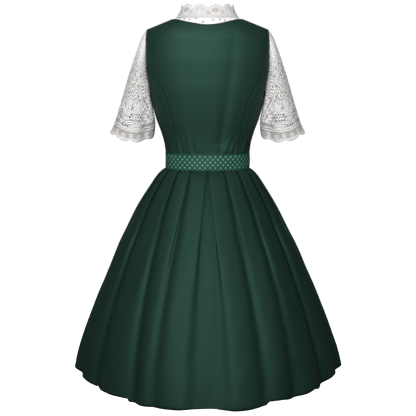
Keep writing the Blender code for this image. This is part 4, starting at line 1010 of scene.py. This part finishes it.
def make_sleeves():
    gap = SEAM_GAP / 2
    half_round = math.pi * SLEEVE_RADIUS
    repeat = 2 * half_round / CUFF_SCALLOPS
    for half, start in (("back", 0.0), ("front", half_round)):
        widths = np.linspace(start + gap, start + half_round - gap, 120)
        top = [(w, float(sleeve_length(w / SLEEVE_RADIUS)) - SEAM_GAP) for w in widths[::-1]]
        outline = [(w, TRIM_WIDTH + gap) for w in widths] + top
        flat, triangles = flat_cloth(outline, LACE_MESH, lace_holes(outline))
        dense, cord, relief = lace_marks(flat[:, 0], flat[:, 1])
        edge = [(w, float(scalloped(w, repeat, SCALLOP_DEPTH))) for w in widths]
        border_line = edge + [(w, TRIM_WIDTH - gap) for w in widths[::-1]]
        trim, trim_triangles = flat_cloth(border_line, TRIM_MESH)
        from_edge = trim[:, 1] - scalloped(trim[:, 0], repeat, SCALLOP_DEPTH)
        trim_dense, trim_cord = edge_marks(trim[:, 0], from_edge, repeat, trim[:, 1])
        for word, place in (("left", on_sleeve), ("right", mirrored(on_sleeve))):
            piece = lay_lace(f"sleeve_lace_{word}_{half}", flat, triangles, place, relief,
                             SLEEVE_LACE, {"dense": dense, "cord": cord})
            declare(piece, f"sleeve_{word}_{half}", "lace_white", *cut_facts(outline, on_sleeve))
            piece = lay_lace(f"cuff_lace_{word}_{half}", trim, trim_triangles, place,
                             CORD_RELIEF * trim_cord, NET_LACE, {"dense": trim_dense, "cord": trim_cord})
            declare(piece, f"sleeve_trim_{word}_{half}", "lace_white",
                    *cut_facts(border_line, on_sleeve, "hung"))


# ---- collar
def collar_foot(turn):
    front = np.cos(turn) < 0
    across = COLLAR_SIDE * np.sin(turn)
    along = np.where(front, COLLAR_FRONT, COLLAR_BACK) * np.cos(turn)
    angle = np.arcsin(np.clip(np.abs(across) / UPPER_HALF, 0, 1) ** (SECTION_POWER / 2))
    reach = np.where(front, UPPER_FRONT, UPPER_BACK) * np.cos(angle) ** (2 / SECTION_POWER)
    lift = np.arccos(np.clip(np.abs(along) / reach, 0, 1))
    dome = dome_height(across)
    level = shoulder_height(across) - dome + dome * np.sin(lift) - COLLAR_SEAT
    return joined(across, along, level)


def collar_point(turn, up):
    """The collar's wall: it leaves the blouse flared and soon stands upright."""
    foot = collar_foot(turn)
    along = np.where(np.cos(turn) < 0, COLLAR_TOP_FRONT, COLLAR_TOP_BACK) * np.cos(turn)
    way = (up / COLLAR_HEIGHT)[..., None]
    top = joined(COLLAR_TOP_SIDE * np.sin(turn), along)
    drawn_in = 1 - (1 - np.clip(way, 0, 1)) ** (1 / COLLAR_SOFTNESS)
    plan = foot[..., :2] + (top - foot[..., :2]) * drawn_in
    return np.concatenate([plan, foot[..., 2:] + COLLAR_HEIGHT * way], axis=-1)


def on_collar(width, up, out):
    return raised(collar_point, width / COLLAR_RADIUS, up, out)


def make_collar():
    end = math.radians(180 - COLLAR_OPENING) * COLLAR_RADIUS
    repeat = 2 * end / COLLAR_SCALLOPS
    widths = np.linspace(-end, end, 24 * COLLAR_SCALLOPS + 1)
    outline = ([(w, SEAM_GAP) for w in widths]
               + [(w, COLLAR_HEIGHT - float(scalloped(w, repeat, COLLAR_SCALLOP)))
                  for w in widths[::-1]])
    flat, triangles = flat_cloth(outline, TRIM_MESH)
    from_edge = COLLAR_HEIGHT - scalloped(flat[:, 0], repeat, COLLAR_SCALLOP) - flat[:, 1]
    dense, cord = edge_marks(flat[:, 0] + (COLLAR_SCALLOPS + 1) * repeat, from_edge, repeat,
                             flat[:, 1], True)
    band = 1 - smooth_step(flat[:, 1], COLLAR_BAND - 0.0015, COLLAR_BAND)
    dense = np.maximum(dense, band)
    cord = np.maximum(cord * (1 - band), 0.5 * bell(flat[:, 1] - COLLAR_BAND, 0.0011))
    piece = lay_lace("collar_lace", flat, triangles, on_collar, CORD_RELIEF * cord,
                     COLLAR_LACE, {"dense": dense, "cord": cord})
    declare(piece, "collar", "lace_white", *cut_facts(outline, on_collar))


# ---- skirt
SKIRT_TOP = tuple((level, *map(float, BODY_PROFILE.at(level)), SECTION_POWER)
                  for level in (WAIST_SEAM, RIBBON_BOTTOM))
SKIRT_PROFILE = Profile(SKIRT_TOP + SKIRT)
PLEAT_LAYER = SKIRT_THICKNESS + FOLD_GAP
PLEAT_BOW = 0.004  # how far the cloth between two pleats swells at the hem
LAP, LAP_DEPTH = 0.0025, 0.0005  # how far a width's edge goes under its neighbour
# how far the outer face, the hem's fold and the turned-in cloth lie in; the stitches' groove
FACE_IN, FOLD_IN, TURNED_IN, GROOVE, GROOVE_WIDTH = 0.0003, 0.0011, 0.0013, 0.0004, 0.003
SOFT_TOP, SOFT_HEM, SOFT_POWER = 0.0004, 0.02, 1.1  # how far the folds are rounded
HEM_REACH = 4  # the power with which the hem's unevenness fades upwards
LEFT_EASE, LEFT_LEVEL, LEFT_SPREAD = 0.0045, -0.6, 0.12  # the left side stands out a little
LEFT_FALL, FALL_POWER = 0.006, 6  # and falls in again at the hem
FOLD_FADE = 0.85  # how much weaker the folds' painted shade is at the hem
SHADE_DEPTH, SHADE_TOP, SHADE_HEM = 0.009, 0.009, 0.024  # the painted shade's depth, width, and growth down
# angle from the centre back, to the wearer's left, and how far the hem stands up there
HEM_RISE = (
    (-180, 0.004), (-110, 0.01), (-88, 0.015), (-70, 0.0125), (-60, 0.005), (-53, -0.001), (-50, 0.005),
    (-46, 0.0), (-38, -0.003), (-33, 0.003), (-27.6, 0.005), (-26.6, -0.005), (-20, -0.006),
    (-12, -0.0075), (-8, -0.006), (-4, -0.003), (8, -0.003), (20, -0.005), (26, -0.008), (35.9, -0.01),
    (36.5, 0.0), (55, -0.001), (62, 0.005), (75, 0.009), (90, 0.01), (110, 0.008), (180, 0.004),
)


def skirt_point(angle, level):
    """Point of the skirt's smooth surface, without its folds."""
    across, along, _ = section_point(angle, *SKIRT_PROFILE.at(level))
    return joined(across, along, level + 0 * angle)


def run_along(line):
    """Length along a line up to each of its points."""
    return np.concatenate([[0], np.cumsum(np.linalg.norm(np.diff(line, axis=0), axis=1))])


def opened(level):
    """0 where the pleats are pressed flat at the waist, 1 at the hem."""
    way = np.clip((RIBBON_BOTTOM - level) / (RIBBON_BOTTOM - SKIRT_HEM), 0, 1)
    return way ** OPEN_POWER


class Ring:
    """One level of the skirt: turns lengths round the smooth surface into angles."""

    def __init__(self, level):
        self.level = level
        self.angles = np.linspace(0, math.pi, RING_POINTS)
        self.lengths = run_along(skirt_point(self.angles, np.full(RING_POINTS, level)))

    def length(self, angle):
        return float(np.interp(angle, self.angles, self.lengths))

    def angle(self, length):
        """Angle at a length from the centre back, also past the centre front."""
        far = self.lengths[-1]
        reach = np.abs(length)
        past = reach > far
        angle = np.interp(np.where(past, 2 * far - reach, reach), self.lengths, self.angles)
        return np.sign(length) * np.where(past, 2 * math.pi - angle, angle)


def fold_length(row, ring, share):
    """Length round a ring at which a pleat's folded edge lies."""
    return ring.length(math.radians(row[0] + (row[1] - row[0]) * share))


def pleat_points(row, ring, share, first):
    """One pleat's cloth as lengths from its fold edge and depths, from pressed to let go."""
    under, depth, width = row[2:]
    # place and depth when pressed, then when let go
    table = (
        (-0.005, 0.0, -0.95 * width, -0.15 * depth),
        (-0.001, -2 * PLEAT_LAYER, -0.42 * width, -0.9 * depth),
        (under, -2 * PLEAT_LAYER, -0.2 * width, -depth),
        (under, -PLEAT_LAYER, 0.05 * width, -0.85 * depth),
        (0.0, -PLEAT_LAYER, 0.4 * width, -0.3 * depth),
        (0.0, 0.0, 0.7 * width, 0.0),
    )
    edge = fold_length(row, ring, share)
    rows = table[2:] if first else table
    return [(edge + a + (c - a) * share, b + (d - b) * share) for a, b, c, d in rows]


def skirt_half(pleats, ring, share):
    """Half a ring from the centre back to the centre front, and where its widths meet."""
    line, seams = [], []
    for number, row in enumerate(pleats):
        points = pleat_points(row, ring, share, number == 0)
        if number:
            before = line[-1]
            for way in (1 / 3, 2 / 3):
                bow = PLEAT_BOW * share * math.sin(math.pi * way)
                line.append((before[0] + (points[0][0] - before[0]) * way,
                             before[1] + (points[0][1] - before[1]) * way + bow))
        if number in SEAM_PLEATS:
            end, tip = points[1], points[2]
            seams.append(len(line) + 2)
            points.insert(2, ((end[0] + tip[0]) / 2, (end[1] + tip[1]) / 2))
        line += points
    last, front = line[-1][0], ring.lengths[-1]
    for number in range(1, FRONT_POINTS + 1):
        way = number / FRONT_POINTS
        line.append((last + (front - last) * way, front_wave(way, share)))
    return line, seams


def front_wave(way, share):
    return -FRONT_WAVE * share * np.sin(math.pi * FRONT_WAVES * way) ** 2


def rounded(line):
    """A polyline with its corners cut, its ends kept."""
    for _ in range(CORNER_CUTS):
        quarter = line[:-1] * 0.75 + line[1:] * 0.25
        three = line[:-1] * 0.25 + line[1:] * 0.75
        line = np.concatenate([line[:1], np.stack([quarter, three], 1).reshape(-1, line.shape[1]),
                               line[-1:]])
    return line


def softened(line, share):
    """A ring whose folds grow rounder as they open, each point drawn to its neighbours."""
    reach = SOFT_TOP + (SOFT_HEM - SOFT_TOP) * share ** SOFT_POWER
    run = run_along(line)
    weight = np.exp(-((run[:, None] - run) / reach) ** 2) * np.gradient(run)
    return weight @ line / weight.sum(axis=1, keepdims=True)


def parted(line):
    """A width with its ends drawn back by half a seam gap."""
    for end, after in ((0, 1), (-1, -2)):
        run = line[after] - line[end]
        line[end] += run * min(0.5, SEAM_GAP / 2 / np.linalg.norm(run))
    return line


def lapped(line):
    """A width with its first edge carried a little way under its neighbour."""
    run = line[0] - line[1]
    tuck = line[0] + run * LAP / np.linalg.norm(run) + np.array([0.0, -LAP_DEPTH])
    return np.concatenate([[tuck], line])


def hem_rise(angle, level):
    angles, rises = np.array(HEM_RISE).T
    turn = np.mod(np.degrees(angle) + 180, 360) - 180
    way = (WAIST_SEAM - level) / (WAIST_SEAM - SKIRT_HEM)
    return np.interp(turn, angles, rises) * way ** HEM_REACH


def drape(angle, level):
    """Soft unevenness of the hung cloth, the same for all the layers of a pleat."""
    share = opened(level)
    broad = (0.003 * np.sin(7 * angle + 1.9 + 3 * level)
             + 0.0026 * np.sin(11 * angle - 0.8 - 5 * level)
             + 0.0014 * np.sin(19 * angle + 0.6 + 7 * level))
    fine = 0.0005 * np.sin(41 * angle + 30 * level) * np.sin(23 * level + 5 * angle)
    side = ((LEFT_EASE * bell(level - LEFT_LEVEL, LEFT_SPREAD) - LEFT_FALL * share ** FALL_POWER)
            * np.clip(np.sin(angle), 0, 1) ** 3)
    return share * broad + share ** 0.5 * fine + side


def fold_edges(ring, share):
    """Lengths round a ring of all the folded edges, past the centre front too."""
    left, right = [np.array([fold_length(row, ring, share) for row in pleats])
                   for pleats in (PLEATS_LEFT, PLEATS_RIGHT)]
    return np.concatenate([left, -right, 2 * ring.lengths[-1] - right])


def skirt_rings():
    """Levels with, for each of the four widths, its section's lengths and depths."""
    way = np.linspace(0, 1, SKIRT_ROWS)
    levels = WAIST_SEAM - SEAM_GAP - (WAIST_SEAM - SEAM_GAP - SKIRT_HEM) * way ** ROW_POWER
    for level in levels:
        ring = Ring(level)
        share = float(opened(level))
        left, left_seams = skirt_half(PLEATS_LEFT, ring, share)
        right, right_seams = skirt_half(PLEATS_RIGHT, ring, share)
        line = np.array([(-length, depth) for length, depth in reversed(right)]
                        + [(0.0, left[0][1])] + left)[1:]
        seams = [len(right) - 2 - seam for seam in reversed(right_seams)]
        seams += [len(right) + seam for seam in left_seams]
        seams.append(seams[0] + len(line))
        period = np.array([2 * ring.lengths[-1], 0.0])
        starts = [2 ** CORNER_CUTS * (len(line) + seam) for seam in seams]
        line = softened(rounded(np.concatenate([line - period, line, line + period])), share)
        yield ring, [lapped(parted(line[start:end + 1].copy()))
                     for start, end in zip(starts[:-1], starts[1:])]


def grid_faces(rows, columns):
    a = (np.arange(rows - 1)[:, None] * columns + np.arange(columns - 1)).ravel()
    return joined(a, a + 1, a + columns + 1, a + columns)


def grid_piece(name, rows, maps, finish, marks=None):
    """A sheet through rows of points, with its pattern."""
    points, flat = np.array(rows), np.array(maps)
    return smooth_mesh(name, points.reshape(-1, 3), grid_faces(*points.shape[:2]),
                       flat.reshape(-1, 2), marks or {}, finish)


def skirt_row(ring, width, out):
    """Points of a width's section at one level, and the shade painted on them deep in the folds."""
    angles, share = ring.angle(width[:, 0]), float(opened(ring.level))
    level = ring.level + hem_rise(angles, ring.level)
    points = raised(skirt_point, angles, level, width[:, 1] + drape(angles, ring.level) + out)
    # painted shade: darker where the cloth lies deep in a fold near its folded edge, weaker towards the
    # hem
    recess = np.clip(-width[:, 1] / (2 * PLEAT_LAYER + SHADE_DEPTH * share), 0, 1)
    away = np.abs(width[:, :1] - fold_edges(ring, share)).min(axis=1)
    return points, recess ** 1.3 * (1 - FOLD_FADE * share) * bell(away, SHADE_TOP + SHADE_HEM * share)


def make_skirt():
    """Each width runs down its outer face and round the hem's fold up to the turned-in edge."""
    rings = list(skirt_rings())
    turned_in = [item for item in rings[::-1] if 0.001 < item[0].level - SKIRT_HEM < HEM_WIDTH]
    for number, word in enumerate(("side_right", "back", "side_left", "front")):
        hem, top = rings[-1][1][number], rings[0][1][number]
        steps = run_along(hem)
        rows, ups = [], []
        for ring, widths in rings:
            up = ring.level - SKIRT_HEM
            groove = GROOVE * bell(up - HEM_WIDTH, GROOVE_WIDTH)
            rows.append(skirt_row(ring, widths[number], -FACE_IN - groove))
            ups.append(up)
        rows.append(skirt_row(rings[-1][0], hem, -FOLD_IN))
        ups.append(-0.001)
        for ring, widths in turned_in:
            rows.append(skirt_row(ring, widths[number], -TURNED_IN))
            ups.append(SKIRT_HEM - ring.level)
        points, painted_shades = zip(*rows)
        maps = [joined(steps, np.full(len(steps), up)) for up in ups]
        # the mark "seam" carries the folds' painted shade
        piece = grid_piece(f"skirt_{word}_satin", points, maps, SHADED_SKIRT_SATIN,
                           {"seam": np.concatenate(painted_shades)})
        width, length = float(steps[-1]), SKIRT_LENGTH + HEM_WIDTH
        declare(piece, f"skirt_{word}", "satin_green", (width, length), "gathered",
                (float(run_along(top)[-1]) + width) / 2 * length)


# ---- apron and waistband
APRON_TOP, APRON_HEM, APRON_LENGTH = -0.4572, -1.0005, 0.57
APRON_EDGE, APRON_COLUMNS, APRON_ROWS = 1 / 8, 180, 110
RIBBON_EASE = 0.0026  # its top rises at the sides and its foot drops in the middle


def make_apron():
    """The apron's panel over the skirt's front, gathered under the ribbon."""
    way = np.linspace(-1 + APRON_EDGE, 1 - APRON_EDGE, APRON_COLUMNS)
    rows, maps = [], []
    for level in np.linspace(APRON_TOP, APRON_HEM, APRON_ROWS):
        ring = Ring(level)
        share = float(opened(level))
        far = ring.lengths[-1]
        last = [skirt_half(pleats, ring, share)[0][-FRONT_POINTS - 1][0]
                for pleats in (PLEATS_LEFT, PLEATS_RIGHT)]
        reach = np.where(way < 0, far - last[0], far - last[1])
        length = far + way * reach
        angles = ring.angle(length)
        down = (APRON_TOP - level) / (APRON_TOP - APRON_HEM)
        gathers = (0.0011 * np.sin(way * 63 + 2.0 * np.sin(3 * way)) * math.exp(-down * 5)
                   + 0.0016 * np.sin(way * 17 + 1.0) * math.sin(math.pi * min(down * 1.4, 1.0)) ** 0.5)
        out = LAYER_GAP + 0.0008 + 0.003 * min(1.0, down * 6)
        depth = front_wave(1 - np.abs(way), share) + out + gathers * min(1.0, 0.35 + down * 6)
        levels = np.full(len(way), level)
        rows.append(raised(skirt_point, angles, levels, depth + drape(angles, levels)))
        maps.append(joined(run_along(rows[-1]), levels - APRON_HEM))
    piece = grid_piece("apron_satin", rows, maps, APRON_SATIN)
    width, top = float(maps[-1][-1, 0]), float(maps[0][-1, 0])
    declare(piece, "apron_panel", "apron_green", (width, APRON_LENGTH), "gathered",
            (width + top) / 2 * APRON_LENGTH)


def make_ribbon():
    """The apron's waistband, all round over the waist seam."""
    angles = np.linspace(0, 2 * math.pi, RIBBON_COLUMNS)
    levels = np.linspace(RIBBON_BOTTOM, RIBBON_TOP, RIBBON_ROWS)
    across, up = np.meshgrid(angles, levels)
    way = (up - RIBBON_BOTTOM) / (RIBBON_TOP - RIBBON_BOTTOM)
    shown = up + RIBBON_EASE * (way * np.abs(np.sin(across)) ** 8 - (1 - way) * np.abs(np.cos(across)))
    swell = 0.0006 * np.sin(math.pi * way) + 0.0004 * np.sin(5 * across + 6 * way)
    points = raised(body_point, across, shown, RIBBON_LIFT + RIBBON_THICKNESS + swell)
    run = run_along(points[0])
    length = float(run[-1])
    run *= round(length / RIBBON_PITCH) * RIBBON_PITCH / length
    flat = joined(np.broadcast_to(run, across.shape), up - RIBBON_BOTTOM)
    inner = raised(body_point, across, shown, np.full(across.shape, RIBBON_LIFT))
    rows = [inner[0]] + list(points) + [inner[-1]]
    maps = [flat[0]] + list(flat) + [flat[-1]]
    piece = grid_piece("ribbon_jacquard", rows, maps, RIBBON)
    declare(piece, "waist_ribbon", "ribbon_green", (length, RIBBON_TOP - RIBBON_BOTTOM), "stretched")


# ---- stage
FLOOR_LEVEL, FLOOR_REACH, AMBIENT = -1.56, 40.0, 0.09
CAMERA_PLACE, CAMERA_PITCH = (-0.0012, 2.85, -0.219), 0.1256
SENSOR, FOCAL = 36.0, 923.0 / 416.0  # width in mm, and the lens in such widths
# name, place, what it faces, size (m), power (W), and whether it shines in the cloth
LIGHTS = (
    ("key", (0.35, 2.55, 0.78), (0.0, 0.0, -0.35), 1.8, 90, True),
    ("fill", (-1.9, 2.0, 0.3), (0.0, 0.0, -0.3), 1.2, 11, True),
    ("left", (2.1, 2.0, 0.5), (0.0, 0.0, -0.5), 1.2, 7, True),
    ("top", (0.40, 1.10, 1.70), (0.0, 0.0, -0.3), 1.4, 16, True),
    ("front", (0.5, -2.7, 0.5), (0.0, 0.0, -0.4), 1.8, 66, False),
)


def area_light(name, place, target, size, power, glossy):
    data = bpy.data.lights.new(name, "AREA")
    data.shape, data.size, data.energy = "DISK", size, power
    light = bpy.data.objects.new(name, data)
    light.location = place
    light.visible_glossy = glossy
    light.rotation_euler = (Vector(target) - Vector(place)).to_track_quat("-Z", "Y").to_euler()
    bpy.context.scene.collection.objects.link(light)


def make_floor():
    """A wide floor as bright as the background, which throws no light on the dress."""
    mesh = bpy.data.meshes.new("floor")
    mesh.from_pydata([(x * FLOOR_REACH, y * FLOOR_REACH, FLOOR_LEVEL) for x, y in
                      ((-1, -1), (1, -1), (1, 1), (-1, 1))], [], [(0, 1, 2, 3)])
    paper = bpy.data.materials.new("floor_paper")
    paper.use_nodes = True
    shader = paper.node_tree.nodes["Principled BSDF"]
    for key, value in (("Base Color", (0.9, 0.9, 0.9, 1)), ("Roughness", 0.9),
                       ("Emission Color", (1, 1, 1, 1)), ("Emission Strength", 1.0)):
        shader.inputs[key].default_value = value
    mesh.materials.append(paper)
    floor = bpy.data.objects.new("floor", mesh)
    bpy.context.scene.collection.objects.link(floor)
    floor.visible_diffuse = floor.visible_glossy = floor.visible_transmission = False


def make_world():
    """White behind the object, and a dim even light from all round."""
    world = bpy.data.worlds.new("studio")
    world.use_nodes = True
    tree = world.node_tree
    dim = tree.nodes["Background"]
    dim.inputs[0].default_value = (AMBIENT, AMBIENT, AMBIENT, 1)
    white = tree.nodes.new("ShaderNodeBackground")
    white.inputs[0].default_value = (1, 1, 1, 1)
    path, mix = tree.nodes.new("ShaderNodeLightPath"), tree.nodes.new("ShaderNodeMixShader")
    tree.links.new(path.outputs["Is Camera Ray"], mix.inputs[0])
    tree.links.new(dim.outputs[0], mix.inputs[1])
    tree.links.new(white.outputs[0], mix.inputs[2])
    tree.links.new(mix.outputs[0], tree.nodes["World Output"].inputs[0])
    bpy.context.scene.world = world


def make_stage():
    make_floor()
    make_world()
    bpy.context.scene.view_settings.view_transform = "Standard"
    for light in LIGHTS:
        area_light(*light)
    data = bpy.data.cameras.new("camera")
    data.sensor_width, data.lens = SENSOR, SENSOR * FOCAL
    camera = bpy.data.objects.new("camera", data)
    camera.location = CAMERA_PLACE
    camera.rotation_euler = (math.pi / 2 - CAMERA_PITCH, 0.0, math.pi)
    bpy.context.scene.collection.objects.link(camera)
    bpy.context.scene.camera = camera


make_bodice()
make_blouse()
make_sleeves()
make_collar()
make_skirt()
make_apron()
make_ribbon()
make_stage()
bpy.context.view_layer.update()
